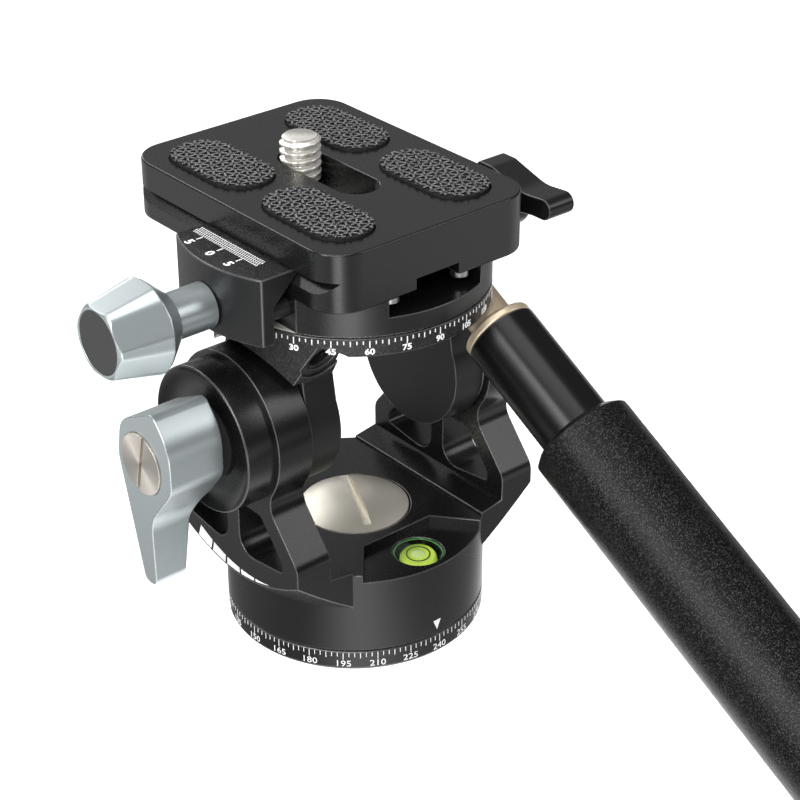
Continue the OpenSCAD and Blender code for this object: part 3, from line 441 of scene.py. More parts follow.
def bridge(shape, rings):
    """Smooth faces from each ring of points to the next. A ring may be a single point repeated."""
    for low, high in zip(rings, rings[1:]):
        for i in range(len(low)):
            corners = list(dict.fromkeys((low[i - 1], low[i], high[i], high[i - 1])))
            if len(corners) > 2:
                shape.faces.new(corners).smooth = True


thread_columns = 56
thread_rows = 12


def thread_rings(shape, crest, root, pitch, start, end, chamfer, place):
    """A helical thread from start to end along its axis, run out at both ends, as rings joined by faces."""
    rows = round((end - start) / pitch * thread_rows)
    rings = []
    for row in range(rows + 1):
        z = start + (end - start) * row / rows
        limit = root + min(z - start, end - z) * (crest - root) / chamfer
        ring = []
        for column in range(thread_columns):
            # The crest, the root and both flanks each take a quarter of the pitch
            phase = (z / pitch - column / thread_columns) % 1
            flank = min(max(1.5 - abs(phase - 0.5) * 4.0, 0.0), 1.0)
            radius = root + (crest - root) * flank
            radius = min(radius, limit) if crest > root else max(radius, limit)
            angle = math.tau * column / thread_columns
            ring.append(shape.verts.new(place(*polar(radius, angle), z)))
        rings.append(ring)
    bridge(shape, rings)
    return rings


def new_piece(name, shape, finish, body, slot):
    """A piece whose faces are smooth, with creases where they turn by more than 40 degrees."""
    bmesh.ops.recalc_face_normals(shape, faces=shape.faces)
    piece = place_piece(name, shape, body, slot, finish)
    piece.data.set_sharp_from_angle(angle=math.radians(40))
    return piece


bush_chamfer = 0.5 * mm


def threaded_bush(name, outer, crest, root, pitch, start, end, place, finish, body, slot):
    """A plain sleeve outside with a thread inside."""
    shape = bmesh.new()
    thread = thread_rings(shape, crest, root, pitch, start, end, bush_chamfer, place)
    sleeve = [round_ring(shape, outer, z, thread_columns, place) for z in (start, end)]
    bridge(shape, [thread[0], *sleeve, thread[-1]])
    return new_piece(name, shape, finish, body, slot)


def on_base_axis(x, y, z):
    """The base's axis is the upright axis of the part's frame."""
    return Vector((x, y, z))


plain_steel = grained_finish(
    "plain_steel", (0.50, 0.50, 0.51), roughness=0.34, grain=2600, relief=0.06, metallic=1.0)
insert_low, insert_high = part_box("thread_insert")
insert = threaded_bush(
    "tripod_thread", outer=insert_high.x, crest=4.05 * mm, root=4.76 * mm, pitch=25.4 * mm / 16,
    start=insert_low.z, end=insert_high.z, place=on_base_axis, finish=plain_steel, body="base", slot="steel")
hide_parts("thread_insert")

# Pan screw: a large domed screw, turned and nickel plated, that holds the yoke down on the base. A steel
# spring washer under its head sets the drag, and a nylon washer slips between dial and yoke.

# Turning marks: fine rings about an axis. With them a painted highlight, brightest in two sectors to one
# side of the axis and opposite it, with painted shade between
turning, turning_in, turning_out = new_group(
    "turning_marks_and_highlight", [
        ("Middle", "Vector", (0, 0, 0)), ("Across", "Vector", (1, 1, 0)), ("Side", "Vector", (0, 1, 0)),
        ("Scale", "Float", 9000.0)],
    ["Ring", "FanHighlight"])
turning_place = add(turning, "TexCoord").outputs["Object"]
turning_from = combine_vectors(turning, "SUBTRACT", turning_place, turning_in["Middle"])[0]
turning_flat = combine_vectors(turning, "MULTIPLY", turning_from, turning_in["Across"])[0]
turning_far = combine_vectors(turning, "LENGTH", turning_flat)["Value"]
turning_noise = add(
    turning, "TexNoise", {"W": turning_far, "Scale": turning_in["Scale"], "Detail": 2.0},
    noise_dimensions="1D")
turning_aside = combine_vectors(turning, "DOT_PRODUCT", turning_flat, turning_in["Side"])["Value"]
turning_share = combine(turning, "DIVIDE", turning_aside, turning_far)
painted_fan_highlight = combine(turning, "POWER", combine(turning, "ABSOLUTE", turning_share), 2.0)
fill(turning, turning_out, {"Ring": turning_noise.outputs[0], "FanHighlight": painted_fan_highlight})


def turned_finish(
        name, colour, roughness, middle, axis, relief, brushed=0.0, fan_highlight=0.0, side=(0, 1, 0), metallic=0.8):
    """Bright turned metal with fine rings about its axis, and a painted highlight in two bright sectors
    across it.
    """
    material, tree, shader = new_material(name)
    flat = (axis != "X", axis != "Y", axis != "Z")
    marks = add(tree, "Group", {"Middle": middle, "Across": flat, "Side": side}, node_tree=turning)
    rings = marks.outputs["Ring"]
    shade = ramp(tree, rings, 0, 1, 0.86, 1.10)
    painted_fan_shade = ramp(tree, marks.outputs["FanHighlight"], 0, 1, 1 - fan_highlight, 1.0)
    shaded = combine(tree, "MULTIPLY", shade, painted_fan_shade)
    toned = combine_vectors(tree, "MULTIPLY", colour, shaded)[0]
    gloss = ramp(tree, rings, 0, 1, roughness * 0.8, roughness * 1.2)
    bump = add(tree, "Bump", {"Height": rings, "Strength": relief, "Distance": 0.05 * mm})
    around = add(tree, "Tangent", direction_type="RADIAL", axis=axis)
    fill(tree, shader, {
        "Base Color": toned, "Roughness": gloss, "Normal": bump.outputs[0],
        "Metallic": metallic, "Anisotropic": brushed, "Tangent": around.outputs[0]})
    return material


def dress(node, finish):
    """Gives a solid that keeps its own shape its finish."""
    data = frame["nodes"][node].data
    data.materials.clear()
    data.materials.append(finish)


nickel_dome = turned_finish(
    "nickel_dome", (1.0, 0.95, 0.83), roughness=0.40, middle=(0, 0, 0), axis="Z", relief=0.30, brushed=0.5,
    fan_highlight=0.10, side=(0.76, -0.65, 0), metallic=0.6)
pale_nylon = grained_finish("pale_nylon", (0.78, 0.77, 0.70), roughness=0.55, grain=2500, relief=0.08)
dress("pan_screw", nickel_dome)
dress("pan_spring_washer", plain_steel)
dress("base_slip_washer", pale_nylon)

# Yoke: the foot that turns on the base, with two windowed arms, machined from one block and anodised. A
# white mark over the dial and a wedge scale on the left arm are printed on it.
machined("yoke", "black_anodised", anodised_black, edge_highlight_black, edge=0.17 * mm)

index_top = yoke_low.z + 2.55 * mm
index_tall = 1.75 * mm
index_half = 0.72 * mm
index_turn = math.radians(-91)
index_mark = [(-index_half, index_top), (0, index_top - index_tall), (index_half, index_top)], [(0, 1, 2)]
print_marks("pan_index", [index_mark], on_drum(dial_r, index_turn), "yoke", "black_anodised")

# The wedge follows the skirt's edge, from its thick end at the back to its point in front
flare_z = 12 * mm
wedge_border = 0.35 * mm
wedge_from = 9.7 * mm
wedge_to = -8.8 * mm
wedge_thick = 2.2 * mm
wedge_thin = 0.03
wedge_gap = 0.45 * mm
wedge_parts = 5
wedge_steps = 6


def on_left_face(x, y, rise):
    """Places marks on the left arm's outer face: x is along Y, and y is the height."""
    return Vector((yoke_low.x - rise, x, y))


def wedge_part(number):
    """One segment of the wedge, which narrows towards the front."""
    span = (wedge_to - wedge_from) / wedge_parts
    start = wedge_from + span * number - wedge_gap / 2
    end = wedge_from + span * (number + 1) + wedge_gap / 2
    edge, inner = [], []
    for step in range(wedge_steps + 1):
        y = start + (end - start) * step / wedge_steps
        far = math.hypot(yoke_low.x, y)
        thick = wedge_thick * max((y - wedge_to) / (wedge_from - wedge_to), wedge_thin)
        height = far - dial_r + flare_z + wedge_border
        lean = y / far
        square = math.hypot(lean, 1)
        edge.append((y, height))
        inner.append((y - thick * lean / square, height + thick / square))
    count = wedge_steps + 1
    return edge + inner, [(i, i + 1, count + i + 1, count + i) for i in range(wedge_steps)]


wedge_marks = [wedge_part(i) for i in range(wedge_parts)]
print_marks("drag_wedge", wedge_marks, on_left_face, "yoke", "black_anodised")

# Level: a round acrylic vial with green spirit and a bubble, glued into its pocket in the foot. A black ring
# on the spirit's top shows where the bubble belongs.


def lathe(outline, place, columns=64):
    """A turned shape from an outline of radius and height, which ends on the axis or where it began."""
    shape = bmesh.new()
    rings = []
    for radius, z in outline:
        if radius:
            rings.append(round_ring(shape, radius, z, columns, place))
        else:
            rings.append([shape.verts.new(place(0, 0, z))] * columns)
    if outline[0][0]:
        rings.append(rings[0])
    bridge(shape, rings)
    return shape


vial_low, vial_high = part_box("level_vial")
vial_middle = (vial_low + vial_high) / 2
vial_r = (vial_high.x - vial_low.x) / 2
vial_crown = 0.5 * mm
vial_rim = vial_high.z - vial_crown
vial_shell_t = 0.35 * mm
vial_shell_z = vial_rim - vial_shell_t


def in_vial(x, y, z):
    """From the vial's own axis to its place in the foot."""
    return Vector((vial_middle.x + x, vial_middle.y + y, z))


def crown(radius, top, rise, steps=8):
    """Outline of a shallow dome, from its rim to its top."""
    ball = (radius * radius + rise * rise) / (2 * rise)
    sweep = math.asin(radius / ball)
    angles = [sweep * (1 - i / steps) for i in range(steps + 1)]
    return [(ball * math.sin(a) if a else 0, top - ball + ball * math.cos(a)) for a in angles]


acrylic, acrylic_tree, acrylic_shader = new_material("acrylic")
acrylic_haze = add(acrylic_tree, "Group", {"Scale": 900.0}, node_tree=fine_grain)
acrylic_gloss = ramp(acrylic_tree, acrylic_haze.outputs["Grain"], 0, 1, 0.01, 0.06)
fill(acrylic_tree, acrylic_shader, {
    "Base Color": (0.97, 1.0, 0.96, 1), "Roughness": acrylic_gloss, "Transmission Weight": 1.0, "IOR": 1.30})
shell_outline = [(0, vial_shell_z), (vial_r, vial_shell_z)] + crown(vial_r, vial_high.z, vial_crown)
vial_shell = new_piece("level_crown", lathe(shell_outline, in_vial), acrylic, "yoke", "vial")
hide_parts("level_vial")


def own_place(tree):
    """The three coordinates of a point in the part's frame."""
    return add(tree, "SeparateXYZ", {0: add(tree, "TexCoord").outputs["Object"]}).outputs


spirit_r = 2.75 * mm
spirit_edge = 0.3 * mm
spirit_top = vial_rim - 0.70 * mm
spirit_front = vial_middle.y - 0.5 * mm
spirit_back = vial_middle.y + 3 * mm
# Painted light: the spirit is painted bright at its front and darker towards the back as painted shade, and
# it glows a little of its own
spirit, spirit_tree, spirit_shader = new_material("green_spirit")
spirit_painted_shade = ramp(spirit_tree, own_place(spirit_tree)["Y"], spirit_front, spirit_back, 0, 1)
spirit_tone = mix_colours(spirit_tree, spirit_painted_shade, (0.70, 0.88, 0.12), (0.16, 0.30, 0.03))
fill(spirit_tree, spirit_shader, {
    "Base Color": spirit_tone, "Roughness": 0.12, "Emission Color": spirit_tone, "Emission Strength": 0.12})
spirit_outline = [
    (0, vial_low.z), (spirit_r + spirit_edge, vial_low.z), (spirit_r, spirit_top - spirit_edge),
    (spirit_r - spirit_edge, spirit_top), (0, spirit_top)]
new_piece("level_spirit", lathe(spirit_outline, in_vial), spirit, "yoke", "vial")

# The cup that holds the spirit shows dark around it. The green ring along its rim is a painted highlight,
# the gleam that the glass would give
cup_r = vial_r - 0.05 * mm
cup_top = vial_low.z + 0.5 * mm
cup_outline = [(0, vial_low.z), (cup_r, vial_low.z), (cup_r, cup_top), (0, cup_top)]
cup_dark = grained_finish("cup_dark", (0.012, 0.016, 0.013), roughness=0.30, grain=2600, relief=0.05)
new_piece("level_cup", lathe(cup_outline, in_vial), cup_dark, "yoke", "vial")
gleam_r = vial_r - 0.25 * mm
gleam_t = 0.16 * mm
gleam_z = vial_shell_z - 0.02 * mm - gleam_t
gleam_steps = 10
gleam_round = [polar(gleam_t, math.tau * i / gleam_steps) for i in range(gleam_steps)]
gleam_outline = [(gleam_r + out, gleam_z + up) for out, up in gleam_round]
painted_gleam_green = grained_finish("painted_gleam_green", (0.10, 0.36, 0.10), roughness=0.20, grain=1500, relief=0.03)
new_piece("level_painted_gleam", lathe(gleam_outline, in_vial), painted_gleam_green, "yoke", "vial")

level_ring_r = 1.75 * mm
level_ring_t = 0.22 * mm


def ring_mark(radius, wide, steps=48):
    """A flat ring about the marks' own middle."""
    angles = [math.tau * i / steps for i in range(steps)]
    rims = (radius + wide / 2, radius - wide / 2)
    points = [polar(rim, a) for rim in rims for a in angles]
    return points, [(i, (i + 1) % steps, steps + (i + 1) % steps, steps + i) for i in range(steps)]


def on_spirit(x, y, rise):
    """Places marks on the spirit's flat top, under the crown."""
    return in_vial(x, y, spirit_top + rise)


black_ink = grained_finish("black_ink", (0.02, 0.03, 0.02), roughness=0.45, grain=6000, relief=0.04)
print_marks("level_ring", [ring_mark(level_ring_r, level_ring_t)], on_spirit, "yoke", "vial", black_ink)

bubble_r = 1.15 * mm
bubble_rise = 0.25 * mm
bubble_base = spirit_top - 0.02 * mm
bubble_outline = [(0, bubble_base), (bubble_r, bubble_base)]
bubble_outline += crown(bubble_r, bubble_base + bubble_rise, bubble_rise)
bubble_air = grained_finish("bubble_air", (0.74, 0.90, 0.36), roughness=0.10, grain=700, relief=0.02)
new_piece("level_bubble", lathe(bubble_outline, in_vial, columns=40), bubble_air, "yoke", "vial")

# Tilt joint: a shouldered steel bolt carries the right lug, and the lock bolt the left one, with nylon
# friction washers between arms and lugs. The dished collar is screwed to the left arm's outside.
black_plastic = grained_finish(
    "black_plastic", (0.030, 0.030, 0.032), roughness=0.50, grain=2600, relief=0.15)
black_steel = grained_finish("black_steel", (0.030, 0.030, 0.032), roughness=0.36, grain=3600, relief=0.06)
dress("friction_washers", pale_nylon)
dress("thrust_washer", black_plastic)
dress("lock_bolt", plain_steel)
machined("pivot_bolt", "steel", black_steel, edge_highlight_black, edge=0.15 * mm)

collar_low, collar_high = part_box("lock_collar")
collar_r = (collar_high.y - collar_low.y) / 2
collar_z = (collar_low.z + collar_high.z) / 2
collar_bore = 4.05 * mm
collar_floor_r = 6.3 * mm
collar_floor_x = collar_low.x + 1.0 * mm
collar_rim = 0.25 * mm
collar_columns = 96
rim_steps = 4
dish_steps = 14
dish_bow = Vector((0.6 * mm, 1.5 * mm))


def on_tilt_axis(x, y, z):
    """From the tilt axis to its place, with z along the axis."""
    return Vector((z, x, collar_z + y))


def curve_points(start, pull, end, steps):
    """Points of a curve from start to end, drawn towards a third point between them."""
    shares = [i / steps for i in range(steps + 1)]
    return [tuple(start * (1 - t) ** 2 + pull * (2 * t * (1 - t)) + end * t ** 2) for t in shares]


dish_start = Vector((collar_r - collar_rim, collar_low.x))
dish_end = Vector((collar_floor_r, collar_floor_x))
dish_pull = (dish_start + dish_end) / 2 + dish_bow
collar_outline = [(collar_bore, collar_floor_x), (collar_bore, collar_high.x), (collar_r, collar_high.x)]
for step in range(rim_steps):
    out, down = polar(collar_rim, math.pi / 2 * step / rim_steps)
    collar_outline.append((dish_start.x + out, collar_low.x + collar_rim - down))
collar_outline += curve_points(dish_start, dish_pull, dish_end, dish_steps)
collar_shape = lathe(collar_outline, on_tilt_axis, collar_columns)
# The rounded outer rim takes the paler edge finish: a painted highlight along the rim
for face in collar_shape.faces:
    middle = face.calc_center_median()
    far = math.hypot(middle.y, middle.z - collar_z)
    face.material_index = int(far > dish_start.x and middle.x < collar_low.x + collar_rim)
collar = new_piece("dished_collar", collar_shape, anodised_black, "yoke", "black_anodised")
collar.data.materials.append(edge_highlight_black)
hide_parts("lock_collar")

# Tilt lever: milled from aluminium and anodised silver. A slotted nickel screw in its hub keeps it on the
# lock bolt's square.
silver_anodised = grained_finish(
    "silver_anodised", (0.56, 0.62, 0.63), roughness=0.33, grain=6000, relief=0.05, metallic=0.75)
silver_edge = grained_finish(
    "silver_edge", (0.58, 0.63, 0.64), roughness=0.28, grain=6000, relief=0.04, metallic=0.7)
machined("tilt_lever", "silver_anodised", silver_anodised, silver_edge, edge=0.27 * mm, steps=3)
cap_low, cap_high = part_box("lever_cap_screw")
nickel_cap = turned_finish(
    "nickel_cap", (0.95, 0.89, 0.81), roughness=0.32, middle=(cap_low + cap_high) / 2, axis="X", relief=0.20,
    brushed=0.9, fan_highlight=0.45, side=(0, 0.5, 0.87))
machined("lever_cap_screw", "nickel", nickel_cap, nickel_cap, edge=0.12 * mm)

# Cradle: one aluminium casting with two lugs, a saddle and a round dial ring, in rough black paint. The
# ring's degree marks are printed in white.

# Rough paint: small raised grains, some of them paler
rough_paint, rough_in, rough_out = new_group(
    "rough_paint", [("Scale", "Float", 3000.0), ("Share", "Float", 0.5)], ["Height", "Speck"])
rough_grid = {"Vector": add(rough_paint, "TexCoord").outputs["Object"], "Scale": rough_in["Scale"]}
rough_cells = add(rough_paint, "TexVoronoi", rough_grid)
rough_noise = add(rough_paint, "TexNoise", {**rough_grid, "Detail": 2.0})
rough_height = ramp(rough_paint, rough_cells.outputs["Distance"], 0.0, 0.7, 1.0, 0.0)
rough_pick = combine(rough_paint, "GREATER_THAN", rough_noise.outputs[0], rough_in["Share"])
rough_speck = combine(rough_paint, "MULTIPLY", rough_height, rough_pick)
fill(rough_paint, rough_out, {"Height": rough_height, "Speck": rough_speck})


def textured_finish(name, colour, speck, roughness, grain, relief, share=0.5, where=None):
    """Rough paint, rubber or foam: raised grains with paler specks, all over or where a mask is 1."""
    material, tree, shader = new_material(name)
    rough = add(tree, "Group", {"Scale": grain, "Share": share}, node_tree=rough_paint)
    height, spots = rough.outputs["Height"], rough.outputs["Speck"]
    if where:
        mask = where(tree)
        height = combine(tree, "MULTIPLY", height, mask)
        spots = combine(tree, "MULTIPLY", spots, mask)
    specked = mix_colours(tree, spots, colour, speck)
    gloss = ramp(tree, height, 0, 1, roughness * 1.15, roughness * 0.85)
    bump = add(tree, "Bump", {"Height": height, "Strength": relief, "Distance": 0.1 * mm})
    fill(tree, shader, {"Base Color": specked, "Roughness": gloss, "Normal": bump.outputs[0]})
    return material


cradle_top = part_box("tilt_cradle")[1].z
ring_r = 21.2 * mm
ring_t = 2.9 * mm
ring_turn = math.radians(178)
smooth_half = 15.6 * mm
smooth_top = 49.5 * mm


def ring_and_saddle(tree):
    """1 on the dial ring and on the saddle's outer ends, 0 on the smooth lugs below them."""
    place = own_place(tree)
    outer = combine(tree, "GREATER_THAN", combine(tree, "ABSOLUTE", place["X"]), smooth_half)
    above = combine(tree, "GREATER_THAN", place["Z"], smooth_top)
    ends = combine(tree, "MULTIPLY", outer, above)
    ring = combine(tree, "GREATER_THAN", place["Z"], cradle_top - ring_t)
    return combine(tree, "MAXIMUM", ends, ring)


textured_black = textured_finish(
    "textured_black", (0.010, 0.010, 0.0105), (0.085, 0.085, 0.088), roughness=0.36, grain=4200,
    relief=0.35, where=ring_and_saddle)
machined("tilt_cradle", "textured_black", textured_black, edge_highlight_black, edge=0.16 * mm)
ring_marks = dial_marks(
    ring_r, top=cradle_top - 0.35 * mm, lengths=(0.55 * mm, 0.85 * mm, 1.1 * mm), wide=0.16 * mm,
    number_y=cradle_top - 2.05 * mm, number_tall=1.0 * mm, bold=0.03)
print_marks("cradle_dial_marks", ring_marks, on_drum(ring_r, ring_turn), "cradle", "textured_black")

# The spare handle thread on the left: M5, tapped square to the saddle's sloping face
handle_drop = math.radians(28.8)
along = Vector((0, -math.cos(handle_drop), -math.sin(handle_drop)))
across = Vector((0, -math.sin(handle_drop), math.cos(handle_drop)))


def sloping_rod(node):
    """The middle, the radius and half the length of a rod that lies along the handle."""
    low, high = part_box(node)
    radius = (high.x - low.x) / 2
    half = ((high.y - low.y) / 2 - radius * math.sin(handle_drop)) / math.cos(handle_drop)
    return (low + high) / 2, radius, half


tube_middle, tube_r, tube_half = sloping_rod("handle_tube")
stub_reach = 7.1 * mm
seat = tube_middle - along * (tube_half + stub_reach)


def on_handle(x, y, z):
    """From the handle's own axis, z out from its seat, to its place on the right."""
    return seat + Vector((-x, 0, 0)) + across * y + along * z


def on_spare_side(x, y, z):
    """The same on the left."""
    return on_handle(x, y, z) - Vector((2 * seat.x, 0, 0))


threaded_bush(
    "spare_handle_thread", outer=2.49 * mm, crest=2.05 * mm, root=2.45 * mm, pitch=0.8 * mm,
    start=-3.9 * mm, end=-0.05 * mm, place=on_spare_side, finish=black_steel, body="cradle",
    slot="textured_black")

# Clamp: a round aluminium plate with rails and a fixed jaw, turning on a shouldered steel screw in the
# cradle, on a nylon washer. A small lever on its right presses a brass shoe against the screw.
dress("clamp_slip_washer", pale_nylon)
dress("clamp_pivot", plain_steel)
machined("clamp_body", "black_anodised", anodised_black, edge_highlight_black, edge=0.14 * mm)
turned_brass = grained_finish(
    "turned_brass", (0.60, 0.43, 0.16), roughness=0.34, grain=2600, relief=0.06, metallic=1.0)
dress("brake_shoe", turned_brass)
dress("pan_lock_stud", plain_steel)
machined("pan_lock_lever", "black_anodised", anodised_black, edge_highlight_black, edge=0.20 * mm, steps=3)

# Moving jaw: slides on two steel pins and grips the plate's left side. Its top has rough paint and a white
# printed ruler, and its broken edges are smooth.
top_near = 0.05 * mm


def top_at(height):
    """A mask that is 1 on a flat top at a height, and 0 below it."""
    def mask(tree):
        return combine(tree, "GREATER_THAN", own_place(tree)["Z"], height - top_near)
    return mask


jaw_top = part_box("moving_jaw")[1].z
jaw_paint = textured_finish(
    "jaw_paint", (0.010, 0.010, 0.0105), (0.095, 0.095, 0.098), roughness=0.33, grain=4200, relief=0.30,
    where=top_at(jaw_top))
machined("moving_jaw", "textured_black", jaw_paint, edge_highlight_black, edge=0.24 * mm, steps=3)
dress("guide_pins", black_steel)

ruler_right = -20.1 * mm
ruler_wide = 2.0 * mm
ruler_from = 9.3 * mm
ruler_to = -6.5 * mm
ruler_pitch = 0.44 * mm
ruler_rows = 4
ruler_line = 0.16 * mm
ruler_break = 0.14 * mm
ruler_numbers = {"5": (6.6 * mm, -2.9 * mm), "0": (1.6 * mm,)}
ruler_tick = 1.1 * mm
ruler_tick_wide = 0.2 * mm
ruler_number_y = -2.3 * mm
ruler_number_tall = 1.5 * mm


def on_jaw(x, y, rise):
    """Places marks on the jaw's top: x runs forward from the axis, and y in from the ruler's outer edge."""
    return Vector((ruler_right - ruler_wide + y, -x, jaw_top + rise))


ruler_marks = []
row_tall = ruler_wide / ruler_rows
for line in range(int((ruler_from - ruler_to) / ruler_pitch)):
    for row in range(ruler_rows):
        x = line * ruler_pitch + ruler_pitch / 2 * (row % 2) - ruler_from
        ruler_marks.append(bar_mark(x, ruler_wide - row * row_tall, ruler_line, row_tall - ruler_break))
for words, places in ruler_numbers.items():
    for y in places:
        ruler_marks.append(bar_mark(-y, 0, ruler_tick_wide, ruler_tick))
        ruler_marks.append(number_mark(-y, ruler_number_y, words, ruler_number_tall, bold=0.03))
print_marks("jaw_ruler", ruler_marks, on_jaw, "jaw", "textured_black")

# Clamp knob: a six-sided silver knob with a turned neck, on a steel spindle that a clip keeps in the jaw. A
# black disc is pressed into its end.
knob_low, knob_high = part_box("clamp_knob")
knob_z = (knob_low.z + knob_high.z) / 2
knob_r = (knob_high.y - knob_low.y) / 2
knob_out = -knob_low.x
neck_x = -knob_high.x
neck_r = 3.5 * mm
neck_end = neck_x + 6.6 * mm
neck_step = 0.6 * mm
knob_wide = neck_end + 3.4 * mm
knob_rim_r = 5.6 * mm
knob_rim_cut = 0.4 * mm
knob_recess_r = 4.72 * mm
knob_recess_d = 0.8 * mm
knob_round = 0.18 * mm
flat_wide = 6.75 * mm
flat_rim = 5.05 * mm
flat_from = 0.1 * mm
knob_soft = 0.05 * mm
knob_columns = 144
shoulder_rows = 6
body_rows = 16


def straight(start, end, steps):
    """Points along a straight line, both ends among them."""
    shares = [i / steps for i in range(steps + 1)]
    return [(start[0] + (end[0] - start[0]) * t, start[1] + (end[1] - start[1]) * t) for t in shares]


def rounded(points, cut, steps=4):
    """An outline with each inner corner replaced by a small curve that starts and ends a cut away."""
    curved = [points[0]]
    for before, corner, after in zip(points, points[1:], points[2:]):
        before, corner, after = Vector(before), Vector(corner), Vector(after)
        start = corner + (before - corner).normalized() * min(cut, (before - corner).length / 2)
        end = corner + (after - corner).normalized() * min(cut, (after - corner).length / 2)
        curved += curve_points(start, corner, end, steps)
    return curved + [points[-1]]


def knob_radius(radius, x, angle):
    """The knob's radius where six sloping flats cut its round body, with softened edges."""
    if x < neck_end + flat_from or radius < knob_recess_r + flat_from:
        return radius
    flat = flat_wide + (x - knob_wide) * (flat_rim - flat_wide) / (knob_out - knob_wide)
    off = (angle - math.pi / 2 + math.pi / 6) % (math.pi / 3) - math.pi / 6
    flat = flat / math.cos(off)
    return (radius + flat - math.hypot(radius - flat, knob_soft)) / 2


knob_outline = [(neck_r, neck_x), (neck_r, neck_end)]
knob_outline += straight((neck_r + neck_step, neck_end), (knob_r, knob_wide), shoulder_rows)[:-1]
knob_outline += straight((knob_r, knob_wide), (knob_rim_r, knob_out - knob_rim_cut), body_rows)
knob_outline += [
    (knob_rim_r - knob_rim_cut, knob_out), (knob_recess_r, knob_out),
    (knob_recess_r, knob_out - knob_recess_d)]
knob_shape = bmesh.new()
knob_rings = []
for radius, x in rounded(knob_outline, knob_round):
    ring = []
    for column in range(knob_columns):
        angle = math.tau * column / knob_columns
        y, z = polar(knob_radius(radius, x, angle), angle)
        ring.append(knob_shape.verts.new((-x, y, knob_z + z)))
    knob_rings.append(ring)
bridge(knob_shape, knob_rings)
knob_shape.faces.new(knob_rings[0])
knob_shape.faces.new(knob_rings[-1])
knob = new_piece("hex_knob", knob_shape, silver_anodised, "knob", "silver_anodised")
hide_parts("clamp_knob")
disc_black = grained_finish("disc_black", (0.045, 0.045, 0.046), roughness=0.45, grain=5200, relief=0.06)
machined("knob_disc", "black_plastic", disc_black, edge_highlight_black, edge=0.12 * mm)
dress("clamp_spindle", plain_steel)
dress("spindle_clip", plain_steel)

# Camera plate: a dovetail plate milled from aluminium and anodised, with a long slot for the camera screw.
# Four steel stop screws under it keep it from sliding out.
plate_low, plate_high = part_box("camera_plate")
rim_near = 0.1 * mm


def plate_rims(point):
    """True at the plate's top and underside, whose edges are rounded; the dovetail's edges stay sharp."""
    return point.z > plate_high.z - rim_near or point.z < plate_low.z + rim_near


machined(
    "camera_plate", "black_anodised", anodised_black, anodised_black, edge=0.32 * mm, steps=3,
    where=plate_rims)
dress("plate_stop_screws", plain_steel)

# Pads: four rubber pads glued into pockets of the plate. Each is moulded with a lattice of raised ridges in
# three directions, which grip the camera. The ridges' tops carry pale specks: a painted sheen where the top
# light falls on them.
pad_w = 10 * mm
pad_l = 19.5 * mm
pad_floor = 0.28 * mm
lattice_side = 1.9 * mm
lattice_gap = lattice_side * math.sin(math.pi / 3)
lattice_rows = int(pad_l / 2 / lattice_gap) + 1
ridge_wide = 0.36 * mm
ridge_sink = 0.05 * mm
ridge_inset = 0.1 * mm
pads_low, pads_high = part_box("rubber_pads")
pads_middle = (pads_low + pads_high) / 2
pad_rubber = textured_finish(
    "pad_rubber", (0.010, 0.010, 0.011), (0.50, 0.50, 0.505), roughness=0.60, grain=5200, relief=0.15,
    share=0.0, where=top_at(pads_high.z))


def pad_outline(wide, long, steps=14):
    """A slot with round ends about its own middle."""
    radius = wide / 2
    points = []
    for end, turn in ((1, 0), (-1, math.pi)):
        for i in range(steps + 1):
            x, y = polar(radius, math.pi * i / steps + turn)
            points.append((x, end * (long / 2 - radius) + y))
    return points


def slab(shape, points, low, high):
    """A flat closed solid from an outline."""
    lows = [shape.verts.new((x, y, low)) for x, y in points]
    tops = [shape.verts.new((x, y, high)) for x, y in points]
    shape.faces.new(list(reversed(lows)))
    shape.faces.new(tops)
    for i in range(len(points)):
        shape.faces.new([lows[i - 1], lows[i], tops[i], tops[i - 1]])


def chord(offset, angle, wide, long, samples=400):
    """Both ends of a straight line across a slot, or None where the line misses it."""
    run = Vector((math.cos(angle), math.sin(angle)))
    start = Vector((-run.y, run.x)) * offset
    radius = wide / 2
    inside = []
    for i in range(samples + 1):
        point = start + run * (i / samples - 0.5) * 2 * long
        reach = max(abs(point.y) - (long / 2 - radius), 0)
        if math.hypot(point.x, reach) <= radius:
            inside.append(point)
    return (inside[0], inside[-1]) if len(inside) > 3 else None


def pad(shape, x, y):
    """One pad with its ridges, its middle at x, y."""
    floor_z = pads_high.z - pad_floor
    slab(shape, [(x + px, y + py) for px, py in pad_outline(pad_w, pad_l)], pads_low.z, floor_z)
    for angle in (0, math.pi / 3, -math.pi / 3):
        for row in range(-lattice_rows, lattice_rows + 1):
            ends = chord(row * lattice_gap, angle, pad_w - ridge_inset, pad_l - ridge_inset)
            if ends:
                a, b = ends
                aside = (b - a).normalized().orthogonal() * ridge_wide / 2
                corners = [a - aside, b - aside, b + aside, a + aside]
                slab(shape, [(x + p.x, y + p.y) for p in corners], floor_z - ridge_sink, pads_high.z)


pad_shape = bmesh.new()
pad_aside = (pads_high.x - pads_low.x - pad_w) / 2
pad_ahead = (pads_high.y - pads_low.y - pad_l) / 2
for side_x in (-1, 1):
    for side_y in (-1, 1):
        pad(pad_shape, pads_middle.x + side_x * pad_aside, pads_middle.y + side_y * pad_ahead)
pads = new_piece("pad_lattice", pad_shape, pad_rubber, "plate", "pad_rubber")
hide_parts("rubber_pads")

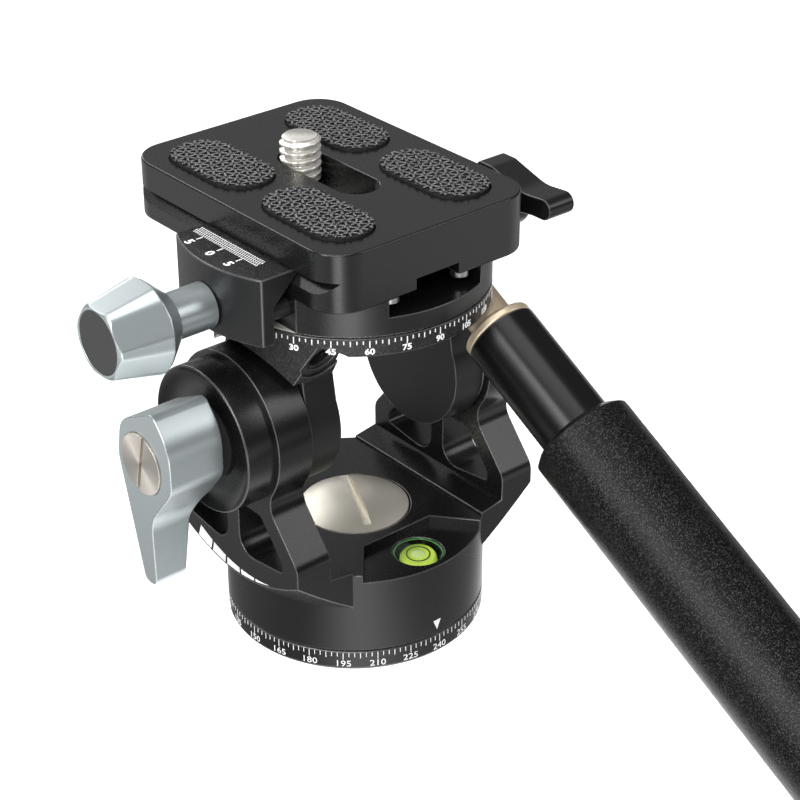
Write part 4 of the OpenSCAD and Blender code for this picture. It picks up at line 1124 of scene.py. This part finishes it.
# Camera screw: a 1/4 inch screw, rolled and nickel plated, that slides in the plate's slot. A nylon washer
# over its head keeps it in the plate.
dress("captive_washer", pale_nylon)
screw_low, screw_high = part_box("camera_screw")
screw_middle = (screw_low + screw_high) / 2
screw_crest = 3.16 * mm
screw_root = 2.50 * mm
screw_thread_start = pads_high.z - 4.2 * mm
screw_head_r = screw_high.x - screw_middle.x
screw_head_top = screw_low.z + 1.2 * mm
screw_neck_top = screw_thread_start + 0.2 * mm


def on_screw(x, y, z):
    """From the camera screw's own axis to its place in the slot."""
    return Vector((screw_middle.x + x, screw_middle.y + y, z))


bright_nickel = turned_finish(
    "bright_nickel", (0.95, 0.92, 0.86), roughness=0.28, middle=screw_middle, axis="Z", relief=0.10,
    metallic=0.6)
screw_shape = bmesh.new()
screw_rings = thread_rings(
    screw_shape, screw_crest, screw_root, pitch=25.4 * mm / 20, start=screw_thread_start, end=screw_high.z,
    chamfer=0.55 * mm, place=on_screw)
screw_shape.faces.new(list(reversed(screw_rings[0])))
screw_shape.faces.new(screw_rings[-1])
screw_thread = new_piece("camera_screw_thread", screw_shape, bright_nickel, "screw", "nickel")
head_outline = [
    (0, screw_low.z), (screw_head_r, screw_low.z), (screw_head_r, screw_head_top),
    (screw_root, screw_head_top), (screw_root, screw_neck_top), (0, screw_neck_top)]
new_piece("camera_screw_head", lathe(head_outline, on_screw), bright_nickel, "screw", "nickel")
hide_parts("camera_screw")

# Handle: a champagne anodised stub screwed into the saddle, a glossy black tube pushed on it, a plastic end
# cap, and a foam sleeve over the tube's length.
champagne = grained_finish(
    "champagne_anodised", (0.93, 0.76, 0.55), roughness=0.36, grain=4000, relief=0.05, metallic=0.6)
machined("handle_stub", "champagne_anodised", champagne, champagne, edge=0.30 * mm)
gloss_black = grained_finish(
    "gloss_black", (0.004, 0.004, 0.0045), roughness=0.26, grain=6000, relief=0.01, specular=0.4)
machined("handle_tube", "black_anodised", gloss_black, edge_highlight_black, edge=0.25 * mm)
machined("handle_end_cap", "black_plastic", black_plastic, edge_highlight_black, edge=0.30 * mm)

grip_middle, grip_r, grip_half = sloping_rod("handle_grip")
grip_start = (grip_middle - seat).dot(along) - grip_half
grip_end = (grip_middle - seat).dot(along) + grip_half
grip_bore = tube_r + 0.02 * mm
grip_round = 1.0 * mm
grip_wave = 0.10 * mm
grip_waves = (1.6 * mm, 0.9 * mm)
grip_step = 0.8 * mm
grip_rows = round((grip_end - grip_start) / grip_step)
grip_columns = 96
foam = textured_finish(
    "speckled_foam", (0.001, 0.001, 0.0011), (0.10, 0.10, 0.103), roughness=0.28, grain=4300, relief=0.28,
    share=0.52)
foam.node_tree.nodes["Principled BSDF"].inputs["Specular IOR Level"].default_value = 0.20


def grip_point(column, z, radius):
    """A point of the foam's skin, which swells and sinks a little."""
    angle = math.tau * column / grip_columns
    point = on_handle(*polar(radius, angle), z)
    swell = sum(noise.noise(point / wave) for wave in grip_waves) / len(grip_waves)
    radius -= grip_wave * (0.5 + 0.5 * swell)
    return on_handle(*polar(radius, angle), z)


grip_outline = [(grip_bore, grip_start)]
for row in range(grip_rows + 1):
    z = grip_start + (grip_end - grip_start) * row / grip_rows
    inset = max(grip_round - min(z - grip_start, grip_end - z), 0)
    grip_outline.append((grip_r - grip_round + math.sqrt(grip_round ** 2 - inset ** 2), z))
grip_outline.append((grip_bore, grip_end))
grip_shape = bmesh.new()
grip_rings = []
for radius, z in grip_outline:
    points = [grip_point(column, z, radius) for column in range(grip_columns)]
    grip_rings.append([grip_shape.verts.new(point) for point in points])
bridge(grip_shape, grip_rings + grip_rings[:1])
grip = new_piece("foam_sleeve", grip_shape, foam, "cradle", "foam")
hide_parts("handle_grip")
